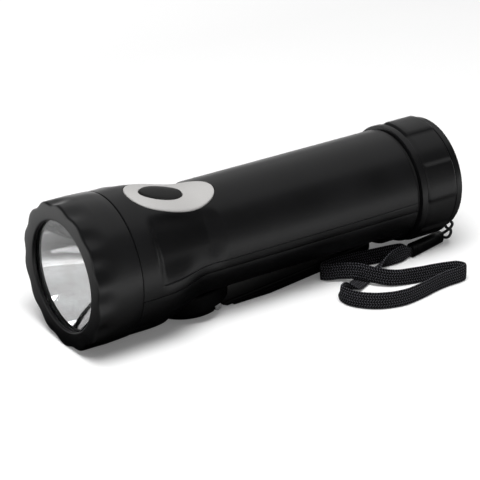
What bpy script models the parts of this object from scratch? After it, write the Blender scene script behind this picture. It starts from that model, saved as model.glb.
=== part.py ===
"""Dynamo flashlight: a hand-cranked torch whose folding winder stows under the barrel.

Metres, +Z up. The barrel lies along Y with its lens facing -Y. The origin is on the ground under the
middle of the torch, which lies on its bezel and on the crank arm. A station is a distance behind the
front face, measured along the barrel.
"""
import math

import bmesh
import bpy
from mathutils import Matrix, Vector

for old in list(bpy.data.objects):
    bpy.data.objects.remove(old, do_unlink=True)

# Clearances
GAP = 0.0003                  # between pieces that touch
RUNNING = 0.0006              # round moving pieces
MERGE = 0.00001

# Barrel and head
HEAD_RADIUS = 0.0290
BEZEL_LENGTH = 0.0191
COLLAR_RADIUS = HEAD_RADIUS - 0.0006
COLLAR_LENGTH = 0.0066
FLARE_LENGTH = 0.0260
FLARE_POWER = 1.5             # keeps the flare full before it narrows
BARREL_RADIUS = 0.0229
BARREL_LENGTH = 0.0997
WALL = 0.0020
NECK_LENGTH = 0.0100          # spigot that carries the bezel
NECK_DROP = 0.0024            # neck under the collar's surface
LOBES = 14
LOBE_DEPTH = 0.0010
OPENING_RADIUS = HEAD_RADIUS - 0.0073
FACE_DEPTH = 0.0012           # lens sits this far behind the front face

# Saddle under the thumb: a crown with a scoop on each side, turned a little round the barrel
ROLL = math.radians(9)
CROWN_LENGTH = 0.0310         # the crown narrows over a longer stretch than the flare
CROWN_POWER = 1.13
DIP_BEHIND_FLARE = 0.0020
DIP_RISE = 0.0090
SCOOP_STEP = 0.0026           # drop just behind the collar
SCOOP_FILLET = 0.0050
SCOOP_RADIUS = 0.0213
SCOOP_TOP = math.radians(22)
SCOOP_SIDE = math.radians(42)
SCOOP_LOW = math.radians(62)

# Switch
PLATE_START = 0.0270          # station of the plate's front tip
PLATE_LENGTH = 0.0382
PLATE_HALF_WIDTH = 0.0103
PLATE_THICKNESS = 0.0010
PLATE_RISE = 0.0003
BUTTON_BEHIND = 0.0149        # button centre behind the plate's tip
BUTTON_LENGTH = 0.0186
BUTTON_WIDTH = 0.0094
BUTTON_DOME = 0.0011
BUTTON_TRAVEL = 0.0010
BOARD_THICKNESS = 0.0016
BOARD_LENGTH = 0.0280
BOARD_WIDTH = 0.0200

# Light
LENS_THICKNESS = 0.0016
SEAL_THICKNESS = 0.0010
REFLECTOR_DEPTH = 0.0194
REFLECTOR_WALL = 0.0012
LED_RADIUS = 0.0025
LED_BOARD_RADIUS = 0.0090

# Tail cap
CAP_COLLAR_RADIUS = 0.0242
CAP_COLLAR_LENGTH = 0.0028
CAP_GRIP_RADIUS = 0.0248
CAP_GRIP_LENGTH = 0.0148
CAP_GRIPS = 5
CAP_SCALLOP = 0.0009
CAP_RIM_RADIUS = 0.0234
CAP_RIM_LENGTH = 0.0034
CAP_RIM_WALL = 0.0020
CAP_FLOOR = 0.0025
CAP_SPIGOT_LENGTH = 0.0060

# Crank bay, cut flat into the lower shell
BAY_HEIGHT = HEAD_RADIUS - 0.0154         # ceiling below the barrel's axis
BAY_FRONT_BEHIND_FLARE = 0.0082
BAY_SLOPE_LENGTH = 0.0185
BAY_SLOPE_DROP = 0.0044
BAY_TAIL = 0.0082             # closed barrel behind the bay

# Crank
TILT = math.radians(5)        # the folded arm rises towards the tail
HUB_BEHIND_FLARE = 0.0031     # hub axis behind the end of the flare
PIN_BEHIND_HUB = 0.0094
PIN_ABOVE_GROUND = 0.0020
HUB_RADIUS = 0.0170
HUB_BOTTOM = 0.0015           # above the hinge pin
HUB_TOP = 0.0120
HUB_ROUND = 0.0045
CLEVIS_HALF_WIDTH = 0.0088
CLEVIS_FRONT = 0.0045
CLEVIS_DROP = 0.0004          # below the pin's axis
SLOT_HALF_WIDTH = 0.0048
KNUCKLE_RADIUS = 0.0019
PIN_RADIUS = 0.0011
PIN_HEAD_RADIUS = 0.0015
PIN_HEAD_LENGTH = 0.0004
PIN_NOTCH_FRONT = 0.0060      # the hub is cut back beside the clevis, from here ahead of the pin
PIN_NOTCH_HEIGHT = 0.0055
ARM_THICKNESS = 0.0046
ARM_TOP = 0.0004
ARM_HALF_WIDTH = 0.0088
ARM_END_HALF_WIDTH = 0.0072
ARM_SHOULDER = 0.0056         # where the arm widens behind the pin
ARM_HEEL = 0.0080             # where the underside reaches the ground
ARM_END_CLEARANCE = 0.0007
KNOB_FROM_END = 0.0092
KNOB_RADIUS = 0.0060
KNOB_RECESS = 0.0012
KNOB_UNDER_CEILING = 0.0005
KNOB_AXLE_RADIUS = 0.0014
SHAFT_RADIUS = 0.0025
BUSH_WALL = 0.0018

# Gears
TOOTH_MODULE = 0.0008
DRIVE_TEETH = 40
PINION_TEETH = 10
WHEEL_TEETH = 24
DRIVE_FACE = 0.0026
WHEEL_FACE = 0.0020
LEVEL_GAP = 0.0004
BACKLASH = 0.00012
PLATE_GAUGE = 0.0012
PLATE_OVER_HUB = 0.0048       # lower plate above the hub's top
AXLE_RADIUS = 0.0010
POST_RADIUS = 0.0016
GEAR_PLATE_WIDTH = 0.0300

# Generator and battery
CAN_RADIUS = 0.0122
CAN_CLEARANCE = 0.0006
CAN_WALL = 0.0008
MAGNET_RADIUS = 0.0070
COIL_WALL = 0.0026
ROTOR_SHAFT_RADIUS = 0.0008
CELL_RADIUS = 0.0085
CELL_LENGTH = 0.0300
CELL_ABOVE_AXIS = 0.0040
CELL_FROM_CAP = 0.0030

# Screws
SCREW_RADIUS = 0.0010
SCREW_HEAD_RADIUS = 0.0019
BOSS_RADIUS = 0.0026
BOARD_POST_RADIUS = 0.0017

# Wrist strap
TAPE_WIDTH = 0.0072
TAPE_THICKNESS = 0.0012
TAPE_GATHER = 0.58            # share of its width where the tape is gathered into the sleeve
GATHER_HELD = 0.0036          # length of tape inside the sleeve
GATHER_LENGTH = 0.0045
STRING_DIAMETER = 0.0012
SLEEVE_HEIGHT = 0.0058
SLEEVE_END_HEIGHT = 0.0048
SLEEVE_THICKNESS = 0.0040
SLEEVE_END_THICKNESS = 0.0036
STRING_POCKET = 0.0120
TAPE_POCKET = 0.0050
POCKET_WALL = 0.0004
LEAD_RADIUS = 0.0005

# Stations along the barrel
NECK_START = BEZEL_LENGTH - NECK_LENGTH
COLLAR_START = BEZEL_LENGTH + GAP
FLARE_START = COLLAR_START + COLLAR_LENGTH
BARREL_START = FLARE_START + FLARE_LENGTH
BARREL_END = BARREL_START + BARREL_LENGTH
CAP_START = BARREL_END + SEAL_THICKNESS * 0.6 + 2 * GAP
GRIP_START = CAP_START + CAP_COLLAR_LENGTH
GRIP_END = GRIP_START + CAP_GRIP_LENGTH
TOTAL_LENGTH = GRIP_END + CAP_RIM_LENGTH
BAY_FRONT = FLARE_START + BAY_FRONT_BEHIND_FLARE
BAY_REAR = BARREL_END - BAY_TAIL
DIP = BARREL_START + DIP_BEHIND_FLARE
NECK_RADIUS = COLLAR_RADIUS - NECK_DROP
INNER_RADIUS = BARREL_RADIUS - WALL

# The hinge pin's place, seen from the barrel's axis, and the hub axis in front of it
PIN_DROP = HEAD_RADIUS - PIN_ABOVE_GROUND
HUB_STATION = BARREL_START + HUB_BEHIND_FLARE
HUB_DROP = PIN_DROP + PIN_BEHIND_HUB * math.sin(TILT)
PIN_STATION = HUB_STATION + PIN_BEHIND_HUB * math.cos(TILT)
ARM_LENGTH = (BAY_REAR - ARM_END_CLEARANCE - PIN_STATION) / math.cos(TILT)

parts = bpy.data.collections.new("dynamo_flashlight")
cutters = bpy.data.collections.new("cutters")
for group in (parts, cutters):
    bpy.context.scene.collection.children.link(group)


def empty(name, location=(0, 0, 0), parent=None, tilt=0.0, roll=0.0):
    frame = bpy.data.objects.new(name, None)
    frame.empty_display_size = 0.01
    frame.location = location
    frame.rotation_euler = (tilt, roll, 0)
    frame.parent = parent
    parts.objects.link(frame)
    return frame


# Frames: the barrel's (x, station, height over its axis), the saddle's, and the crank's, tilted with the hub
torch = empty("torch_frame", (0, -TOTAL_LENGTH / 2, HEAD_RADIUS))
saddle = empty("saddle_frame", (0, 0, 0), torch, 0, ROLL)
crank = empty("crank_frame", (0, HUB_STATION, -HUB_DROP), torch, TILT)
hinge = empty("arm_frame", (0, PIN_BEHIND_HUB, 0), crank)


def material(name, colour, roughness, metallic=0.0, alpha=1.0):
    mat = bpy.data.materials.new(name)
    mat.use_nodes = True
    shader = mat.node_tree.nodes["Principled BSDF"]
    shader.inputs["Base Color"].default_value = (*colour, 1)
    shader.inputs["Roughness"].default_value = roughness
    shader.inputs["Metallic"].default_value = metallic
    shader.inputs["Alpha"].default_value = alpha
    mat.diffuse_color = (*colour, alpha)
    return mat


BLACK = (0.012, 0.012, 0.013)
STEEL = (0.55, 0.55, 0.56)
BRASS = (0.68, 0.47, 0.17)
WHITE = (0.78, 0.77, 0.74)


def black_plastic(name):
    return material(name, BLACK, 0.36)


def place(obj, mat, parent=None, location=(0, 0, 0), rotation=(0, 0, 0)):
    """Give a piece its material and its place, and smooth its round faces."""
    obj.data.materials.clear()
    obj.data.materials.append(mat)
    obj.parent = parent or torch
    obj.location = location
    obj.rotation_euler = rotation
    if obj.name not in parts.objects:
        parts.objects.link(obj)
    if obj.type == "MESH" and obj.data.polygons:
        obj.data.shade_smooth()
        obj.data.set_sharp_from_angle(angle=math.radians(35))
    return obj


def solid(name, bm):
    bmesh.ops.recalc_face_normals(bm, faces=bm.faces)
    mesh = bpy.data.meshes.new(name)
    bm.to_mesh(mesh)
    bm.free()
    return bpy.data.objects.new(name, mesh)


def block(name, low, high):
    bm = bmesh.new()
    bmesh.ops.create_cube(bm, size=1)
    size = Vector(high) - Vector(low)
    middle = (Vector(high) + Vector(low)) / 2
    bmesh.ops.transform(bm, matrix=Matrix.LocRotScale(middle, None, size), verts=bm.verts)
    return solid(name, bm)


def rod(name, radius, start, end, sides=24, centre=(0, 0), axis="Z"):
    """A cylinder from start to end along an axis, centred at the other two coordinates."""
    bm = bmesh.new()
    bmesh.ops.create_cone(bm, cap_ends=True, segments=sides, radius1=radius, radius2=radius,
                          depth=end - start)
    bmesh.ops.translate(bm, vec=(0, 0, (start + end) / 2), verts=bm.verts)
    if axis == "Y":
        bmesh.ops.rotate(bm, matrix=Matrix.Rotation(math.radians(-90), 3, "X"), verts=bm.verts)
        shift = (centre[0], 0, centre[1])
    elif axis == "X":
        bmesh.ops.rotate(bm, matrix=Matrix.Rotation(math.radians(90), 3, "Y"), verts=bm.verts)
        shift = (0, centre[0], centre[1])
    else:
        shift = (centre[0], centre[1], 0)
    bmesh.ops.translate(bm, vec=shift, verts=bm.verts)
    return solid(name, bm)


def turned(name, profile, sides=32):
    """A closed profile of (radius, height) points turned round Z."""
    twice_area = sum(a[0] * b[1] - b[0] * a[1]
                     for a, b in zip(profile, profile[1:] + profile[:1]))
    if twice_area > 0:
        profile = profile[::-1]
    on_axis = [i for i, point in enumerate(profile) if point[0] < MERGE]
    if on_axis:
        first = next(i for i in on_axis if profile[i - 1][0] < MERGE)
        profile = profile[first:] + profile[:first]
    mesh = bpy.data.meshes.new(name)
    points = [(r, 0, z) for r, z in profile]
    edges = [(i, i + 1) for i in range(len(points) - 1)]
    if not on_axis:
        edges.append((len(points) - 1, 0))
    mesh.from_pydata(points, edges, [])
    obj = bpy.data.objects.new(name, mesh)
    screw = obj.modifiers.new("Turn", "SCREW")
    screw.steps = screw.render_steps = sides
    screw.use_merge_vertices = True
    screw.merge_threshold = MERGE
    screw.use_smooth_shade = True
    return obj


ALONG_BARREL = (math.radians(-90), 0, 0)


def grid_solid(name, rings, closed=False):
    """A tube through rings of equally many points, with flat ends or closed on itself."""
    count = len(rings[0])
    spans = len(rings) if closed else len(rings) - 1
    bm = bmesh.new()
    bmesh.ops.create_grid(bm, x_segments=spans, y_segments=count, size=1)
    for vert in bm.verts:
        i = round((vert.co.x + 1) / 2 * spans) % len(rings)
        j = round((vert.co.y + 1) / 2 * count) % count
        vert.co = rings[i][j]
    bmesh.ops.remove_doubles(bm, verts=bm.verts, dist=MERGE / 10)
    rim = [edge for edge in bm.edges if edge.is_boundary]
    if rim:
        bmesh.ops.holes_fill(bm, edges=rim, sides=0)
    return solid(name, bm)


def outline_solid(name, outlines, start, end):
    """Closed flat outlines, holes among them, filled and given a thickness along Z."""
    curve = bpy.data.curves.new(name + "_outline", "CURVE")
    curve.dimensions = "2D"
    curve.fill_mode = "BOTH"
    curve.extrude = (end - start) / 2
    for outline in outlines:
        spline = curve.splines.new("POLY")
        spline.points.add(len(outline) - 1)
        for point, (x, y) in zip(spline.points, outline):
            point.co = (x, y, 0, 1)
        spline.use_cyclic_u = True
    shape = bpy.data.objects.new(name + "_outline", curve)
    bpy.context.scene.collection.objects.link(shape)
    bpy.context.view_layer.update()
    mesh = bpy.data.meshes.new_from_object(shape.evaluated_get(bpy.context.evaluated_depsgraph_get()))
    bpy.data.objects.remove(shape, do_unlink=True)
    bm = bmesh.new()
    bm.from_mesh(mesh)
    bmesh.ops.remove_doubles(bm, verts=bm.verts, dist=MERGE / 10)
    bmesh.ops.translate(bm, vec=(0, 0, (start + end) / 2), verts=bm.verts)
    return solid(name, bm)


def circle(radius, sides, centre=(0, 0)):
    return [(centre[0] + radius * math.cos(math.tau * i / sides),
             centre[1] + radius * math.sin(math.tau * i / sides)) for i in range(sides)]


def boolean(obj, tool, operation, parent=None, location=(0, 0, 0), rotation=(0, 0, 0)):
    """Cut, join or keep with a tool that stands in the same frame as the piece."""
    if tool.name not in cutters.objects:
        cutters.objects.link(tool)
        tool.parent = parent or torch
        tool.location = location
        tool.rotation_euler = rotation
        tool.hide_render = True
        tool.display_type = "WIRE"
    step = obj.modifiers.new(operation.title(), "BOOLEAN")
    step.operation = operation
    step.solver = "EXACT"
    step.object = tool
    return obj


def ease(value):
    value = min(max(value, 0.0), 1.0)
    return value * value * (3 - 2 * value)


def blend(low, high, share):
    return low + (high - low) * share


def body_radius(s):
    """Radius of the torch's round outline at a station."""
    if s < COLLAR_START:
        return NECK_RADIUS
    share = min(max((s - FLARE_START) / FLARE_LENGTH, 0.0), 1.0)
    return blend(COLLAR_RADIUS, BARREL_RADIUS, ease(share ** FLARE_POWER))


def top_radius(s):
    """Radius of the crown under the switch plate."""
    if s < FLARE_START:
        return body_radius(s)
    share = min((s - FLARE_START) / CROWN_LENGTH, 1.0)
    return blend(COLLAR_RADIUS, BARREL_RADIUS, ease(share ** CROWN_POWER))


def side_radius(s):
    """Radius at the bottom of the scoops beside the switch plate."""
    if s < FLARE_START:
        return body_radius(s)
    if s < FLARE_START + SCOOP_FILLET:
        return COLLAR_RADIUS - SCOOP_STEP * ease((s - FLARE_START) / SCOOP_FILLET)
    if s < DIP:
        share = (s - FLARE_START - SCOOP_FILLET) / (DIP - FLARE_START - SCOOP_FILLET)
        return min(blend(COLLAR_RADIUS - SCOOP_STEP, SCOOP_RADIUS, share), body_radius(s))
    return blend(SCOOP_RADIUS, BARREL_RADIUS, ease((s - DIP) / (DIP_RISE * 0.7)))


def upper_radius(s, angle):
    """Radius of the upper shell; the angle is measured from the top."""
    angle = abs(angle)
    crown = blend(top_radius(s), side_radius(s), ease((angle - SCOOP_TOP) / (SCOOP_SIDE - SCOOP_TOP)))
    return blend(crown, body_radius(s), ease((angle - SCOOP_LOW) / (math.pi / 2 - SCOOP_LOW)))


def shell_stations(first, last):
    """Stations close together over the flare and the saddle, and far apart on the barrel."""
    saddle_end = DIP + DIP_RISE
    count = 10
    bends = [blend(FLARE_START, saddle_end, i / count) for i in range(count + 1)]
    return [first, COLLAR_START - GAP / 2, COLLAR_START, FLARE_START - COLLAR_LENGTH / 3] + bends + [last]


ARC_STEPS = 22


def rolled(x, s, z):
    """A point of the shells, turned round the barrel with the saddle."""
    return x * math.cos(ROLL) + z * math.sin(ROLL), s, z * math.cos(ROLL) - x * math.sin(ROLL)


def half_ring(s, radius, upper):
    """Half of the torch's section, closed along the parting plane."""
    ring = []
    for i in range(ARC_STEPS + 1):
        angle = -math.pi / 2 + math.pi * i / ARC_STEPS
        if not upper:
            angle += math.pi
        r = radius(s, angle if upper else math.pi)
        x, z = r * math.sin(angle), r * math.cos(angle)
        z = max(z, GAP / 2) if upper else min(z, -GAP / 2)
        ring.append(rolled(x, s, z))
    return ring


def inner_ring(s, drop, upper):
    """Inside of the shells, as a full ring that overshoots the parting plane."""
    ring = []
    for i in range(ARC_STEPS + 1):
        angle = -math.pi / 2 + math.pi * i / ARC_STEPS
        r = (upper_radius(s, angle) if upper else body_radius(s)) - drop
        x, z = r * math.sin(angle), r * math.cos(angle)
        ring.append((x, s, z if upper else -z))
    over = -WALL if upper else WALL
    ring = [(ring[0][0], s, over)] + ring + [(ring[-1][0], s, over)]
    return [rolled(*point) for point in ring]


def cavity(name, upper):
    """The space inside one shell: a straight neck, then a wall's thickness inside the outer form."""
    rings = []
    bore = NECK_RADIUS - WALL
    neck_drop = NECK_RADIUS - bore
    rings.append(inner_ring(NECK_START - WALL, neck_drop, upper))
    neck_end = COLLAR_START + WALL
    neck_ring = inner_ring(COLLAR_START - GAP, neck_drop, upper)
    rings.append([(x, neck_end, z) for x, s, z in neck_ring])
    for s in shell_stations(NECK_START, BARREL_END + WALL)[4:]:
        if s > neck_end + GAP:
            rings.append(inner_ring(s, WALL, upper))
    return grid_solid(name, rings)


def bay_profile(margin):
    """Side outline of the crank bay as (station, height), grown by a margin."""
    low = -2 * HEAD_RADIUS
    front = BAY_FRONT - margin
    slope_end = BAY_FRONT + BAY_SLOPE_LENGTH - margin
    rear = BAY_REAR + margin
    ceiling = -BAY_HEIGHT + margin
    return [(front, low), (front, ceiling - BAY_SLOPE_DROP), (slope_end, ceiling), (rear, ceiling), (rear, low)]


def bay_block(name, margin):
    """The bay's outline across the whole torch."""
    obj = outline_solid(name, [bay_profile(margin)], -2 * HEAD_RADIUS, 2 * HEAD_RADIUS)
    obj.data.transform(Matrix(((0, 0, 1, 0), (1, 0, 0, 0), (0, 1, 0, 0), (0, 0, 0, 1))))
    return obj


def plate_outline(margin, steps=40):
    """Outline of the switch plate, wide end forward, as (x, station)."""
    centre = PLATE_START + PLATE_LENGTH / 2
    points = []
    for i in range(steps):
        angle = math.tau * i / steps
        along = -math.cos(angle)
        width = PLATE_HALF_WIDTH * (1 - 0.14 * along + 0.24 * along * along)
        points.append(((width + margin) * math.sin(angle), centre + (PLATE_LENGTH / 2 + margin) * along))
    return points


BUTTON_STATION = PLATE_START + BUTTON_BEHIND


def oval(length, width, station, steps=28):
    return [(width / 2 * math.sin(math.tau * i / steps), station + length / 2 * math.cos(math.tau * i / steps))
            for i in range(steps)]


# Head: bezel, lens, seal, reflector and the lamp on its board
def lobed_ring(radius, station, share, sides=70):
    ring = []
    for i in range(sides):
        angle = math.tau * i / sides
        wave = 0.5 - 0.5 * math.cos(LOBES * angle)
        r = radius - LOBE_DEPTH * share * wave
        ring.append((r * math.sin(angle), station, r * math.cos(angle)))
    return ring


LENS_SEAT_RADIUS = OPENING_RADIUS + 0.0033
LENS_START = FACE_DEPTH + GAP
SEAL_START = LENS_START + LENS_THICKNESS + GAP
REFLECTOR_START = SEAL_START + SEAL_THICKNESS + GAP
REFLECTOR_FLANGE = 0.0010
THREAD_RADIUS = NECK_RADIUS + 2 * GAP
EDGE_ROUND = 0.0010

bezel_profile = [
    (OPENING_RADIUS + 0.0006, 0.0, 0.0),
    (HEAD_RADIUS - EDGE_ROUND, 0.0, 0.9),
    (HEAD_RADIUS - 0.3 * EDGE_ROUND, 0.3 * EDGE_ROUND, 1.0),
    (HEAD_RADIUS, EDGE_ROUND, 1.0),
    (HEAD_RADIUS, BEZEL_LENGTH * 0.48, 0.0),
    (blend(HEAD_RADIUS, COLLAR_RADIUS, 0.7), BEZEL_LENGTH - 0.0005, 0.0),
    (COLLAR_RADIUS - GAP, BEZEL_LENGTH, 0.0),
    (THREAD_RADIUS, BEZEL_LENGTH, 0.0),
    (THREAD_RADIUS, REFLECTOR_START + REFLECTOR_FLANGE, 0.0),
    (LENS_SEAT_RADIUS, REFLECTOR_START + REFLECTOR_FLANGE, 0.0),
    (LENS_SEAT_RADIUS, FACE_DEPTH, 0.0),
    (OPENING_RADIUS, FACE_DEPTH, 0.0),
    (OPENING_RADIUS, 0.0006, 0.0),
]
bezel = grid_solid("head_bezel", [lobed_ring(*point) for point in bezel_profile], closed=True)
place(bezel, black_plastic("bezel_plastic"))

DISC_RADIUS = LENS_SEAT_RADIUS - GAP
lens = turned("lens", [(0, LENS_START), (DISC_RADIUS, LENS_START), (DISC_RADIUS, LENS_START + LENS_THICKNESS),
                       (0, LENS_START + LENS_THICKNESS)], 32)
place(lens, material("lens_clear", (0.95, 0.97, 0.98), 0.03, 0, 0.2), rotation=ALONG_BARREL)

seal_inner = OPENING_RADIUS + 0.0009
lens_seal = turned("lens_seal", [(seal_inner, SEAL_START), (DISC_RADIUS, SEAL_START),
                                 (DISC_RADIUS, SEAL_START + SEAL_THICKNESS),
                                 (seal_inner, SEAL_START + SEAL_THICKNESS)], 32)
place(lens_seal, material("seal_rubber", (0.02, 0.02, 0.02), 0.8), rotation=ALONG_BARREL)

BOWL_RADIUS = OPENING_RADIUS - 0.0002
BOWL_HOLE = LED_RADIUS + 0.0016
VERTEX = REFLECTOR_START + REFLECTOR_DEPTH
FOCAL = BOWL_RADIUS ** 2 / (4 * REFLECTOR_DEPTH)
BOWL_STEPS = 6


def bowl_station(radius):
    return VERTEX - radius * radius / (4 * FOCAL)


bowl_radii = [blend(BOWL_HOLE, BOWL_RADIUS, i / BOWL_STEPS) for i in range(BOWL_STEPS + 1)]
BOWL_REAR = VERTEX + REFLECTOR_WALL
flange_end = REFLECTOR_START + REFLECTOR_FLANGE
bowl_outer = [(r + REFLECTOR_WALL, bowl_station(r) + REFLECTOR_WALL * 0.6) for r in bowl_radii[1:-1]]
bowl_outer = [point for point in bowl_outer if point[1] > flange_end + GAP][1::2]
reflector = turned("reflector", [(r, bowl_station(r)) for r in bowl_radii]
                   + [(DISC_RADIUS, REFLECTOR_START), (DISC_RADIUS, flange_end),
                      (BOWL_RADIUS + REFLECTOR_WALL, flange_end)]
                   + bowl_outer[::-1]
                   + [(BOWL_HOLE + REFLECTOR_WALL, BOWL_REAR), (BOWL_HOLE, BOWL_REAR)], 32)
place(reflector, material("reflector_chrome", (0.86, 0.86, 0.87), 0.08, 1.0), rotation=ALONG_BARREL)

LED_BOARD_START = BOWL_REAR + 2 * GAP
led_base = LED_BOARD_START - GAP
led_profile = [(0, led_base), (LED_RADIUS + 0.0009, led_base), (LED_RADIUS + 0.0009, led_base - 0.0012),
               (LED_RADIUS, led_base - 0.0012), (LED_RADIUS, led_base - 0.0032)]
led_profile += [(LED_RADIUS * math.cos(math.radians(a)), led_base - 0.0032 - LED_RADIUS * math.sin(math.radians(a)))
                for a in (22.5, 45, 67.5)]
led = turned("led", led_profile + [(0, led_base - 0.0032 - LED_RADIUS)], 20)
place(led, material("led_resin", (0.93, 0.93, 0.85), 0.12), rotation=ALONG_BARREL)

led_board = turned("led_board", [(0.0012, LED_BOARD_START), (LED_BOARD_RADIUS, LED_BOARD_START),
                                 (LED_BOARD_RADIUS, LED_BOARD_START + BOARD_THICKNESS),
                                 (0.0012, LED_BOARD_START + BOARD_THICKNESS)], 24)
place(led_board, material("board_green", (0.03, 0.16, 0.07), 0.45), rotation=ALONG_BARREL)

HOLDER_START = LED_BOARD_START + BOARD_THICKNESS + GAP
HOLDER_RADIUS = side_radius(HOLDER_START + WALL) - WALL - 0.0006
holder_end = HOLDER_START + 0.0016
led_holder = turned("led_holder", [(0.0030, HOLDER_START), (LED_BOARD_RADIUS + GAP, HOLDER_START),
                                   (LED_BOARD_RADIUS + GAP, LED_BOARD_START + GAP),
                                   (LED_BOARD_RADIUS + 0.0014, LED_BOARD_START + GAP),
                                   (LED_BOARD_RADIUS + 0.0014, HOLDER_START), (HOLDER_RADIUS, HOLDER_START),
                                   (HOLDER_RADIUS, holder_end), (0.0030, holder_end)], 32)
place(led_holder, material("holder_plastic", WHITE, 0.5), rotation=ALONG_BARREL)

# Shells
outer_stations = shell_stations(NECK_START, BARREL_END)
upper_shell = grid_solid("upper_shell", [half_ring(s, upper_radius, True) for s in outer_stations])
place(upper_shell, black_plastic("upper_shell_plastic"))
boolean(upper_shell, cavity("upper_cavity", True), "DIFFERENCE")


def round_half(s, angle):
    return body_radius(s)


lower_shell = grid_solid("lower_shell", [half_ring(s, round_half, False) for s in outer_stations])
place(lower_shell, black_plastic("lower_shell_plastic"))
lower_cavity = cavity("lower_cavity", False)
boolean(lower_cavity, bay_block("bay_wall_block", WALL), "DIFFERENCE")
boolean(lower_shell, bay_block("bay_space", 0.0), "DIFFERENCE")
boolean(lower_shell, lower_cavity, "DIFFERENCE")

# Heights in the crank's frame, over the hinge pin
PLATE_LOW = HUB_TOP + PLATE_OVER_HUB
PLATE_LOW_TOP = PLATE_LOW + PLATE_GAUGE
DRIVE_LOW = PLATE_LOW_TOP + LEVEL_GAP + GAP
DRIVE_TOP = DRIVE_LOW + DRIVE_FACE
WHEEL_ONE_LOW = DRIVE_TOP + LEVEL_GAP
WHEEL_ONE_TOP = WHEEL_ONE_LOW + WHEEL_FACE
WHEEL_TWO_LOW = WHEEL_ONE_TOP + LEVEL_GAP
WHEEL_TWO_TOP = WHEEL_TWO_LOW + WHEEL_FACE
PLATE_HIGH = WHEEL_TWO_TOP + LEVEL_GAP + GAP
PLATE_HIGH_TOP = PLATE_HIGH + PLATE_GAUGE
CAN_LOW = PLATE_HIGH_TOP + GAP

# Distances between the gears' axes
DRIVE_TO_ONE = TOOTH_MODULE * (DRIVE_TEETH + PINION_TEETH) / 2 + BACKLASH
WHEEL_TO_PINION = TOOTH_MODULE * (WHEEL_TEETH + PINION_TEETH) / 2 + BACKLASH
ONE_AT = DRIVE_TO_ONE
TWO_AT = ONE_AT + WHEEL_TO_PINION
ROTOR_AT = TWO_AT + WHEEL_TO_PINION
headroom = math.sqrt(INNER_RADIUS ** 2 - CAN_RADIUS ** 2) - CAN_CLEARANCE + HUB_DROP
CAN_TOP = (headroom - (ROTOR_AT + CAN_RADIUS) * math.sin(TILT)) / math.cos(TILT)

# Crank hub with its clevis, turning on the shaft
hub_profile = [(0, HUB_BOTTOM), (HUB_RADIUS - HUB_ROUND, HUB_BOTTOM)]
hub_profile += [(HUB_RADIUS - HUB_ROUND + HUB_ROUND * math.sin(math.radians(a)),
                 HUB_BOTTOM + HUB_ROUND - HUB_ROUND * math.cos(math.radians(a))) for a in (22.5, 45, 67.5, 90)]
hub_profile += [(HUB_RADIUS, HUB_TOP), (0, HUB_TOP)]
crank_hub = turned("crank_hub", hub_profile, 36)
place(crank_hub, black_plastic("hub_plastic"), crank)


def clevis_side():
    """Side outline of the clevis block: (along, height), with a round nose at the pin."""
    nose = [(PIN_BEHIND_HUB + KNUCKLE_RADIUS * math.cos(math.radians(a)), KNUCKLE_RADIUS * math.sin(math.radians(a)))
            for a in (-90, -67.5, -45, -22.5, 0, 22.5, 45)]
    front = -CLEVIS_FRONT
    return ([(front + 0.0015, -CLEVIS_DROP)] + [(PIN_BEHIND_HUB - 0.0030, -CLEVIS_DROP)] + nose
            + [(PIN_BEHIND_HUB, HUB_BOTTOM + 0.0022), (PIN_BEHIND_HUB, HUB_TOP / 2), (front, HUB_TOP / 2),
               (front, CLEVIS_DROP)])


ACROSS = Matrix(((0, 0, 1, 0), (1, 0, 0, 0), (0, 1, 0, 0), (0, 0, 0, 1)))


def side_solid(name, outline, half_width):
    """A side outline of (along, height) points given a width across the torch."""
    obj = outline_solid(name, [outline], -half_width, half_width)
    obj.data.transform(ACROSS)
    return obj


boolean(crank_hub, side_solid("clevis_block", clevis_side(), CLEVIS_HALF_WIDTH), "UNION", crank)
slot_top = KNUCKLE_RADIUS + 0.0030
slot = block("clevis_slot", (-SLOT_HALF_WIDTH, PIN_BEHIND_HUB - 0.0062, -HUB_TOP),
             (SLOT_HALF_WIDTH, 2 * HUB_RADIUS, slot_top))
boolean(crank_hub, slot, "DIFFERENCE", crank)
heel_cut = block("heel_cut", (-2 * HUB_RADIUS, PIN_BEHIND_HUB + KNUCKLE_RADIUS + 0.0004, -HUB_TOP),
                 (2 * HUB_RADIUS, 2 * HUB_RADIUS, slot_top))
boolean(crank_hub, heel_cut, "DIFFERENCE", crank)
for side in (-1, 1):
    beside = sorted((side * CLEVIS_HALF_WIDTH, side * 2 * HUB_RADIUS))
    notch = block("pin_notch_%d" % side, (beside[0], PIN_BEHIND_HUB - PIN_NOTCH_FRONT, -HUB_TOP),
                  (beside[1], 2 * HUB_RADIUS, PIN_NOTCH_HEIGHT))
    boolean(crank_hub, notch, "DIFFERENCE", crank)
boolean(crank_hub, rod("pin_hole", PIN_RADIUS + GAP, -HUB_RADIUS, HUB_RADIUS, 20, (PIN_BEHIND_HUB, 0), "X"),
        "DIFFERENCE", crank)
SHAFT_FOOT = HUB_TOP * 0.52
boolean(crank_hub, rod("shaft_socket", SHAFT_RADIUS + GAP, SHAFT_FOOT - GAP, 2 * HUB_TOP, 24), "DIFFERENCE", crank)

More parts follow.
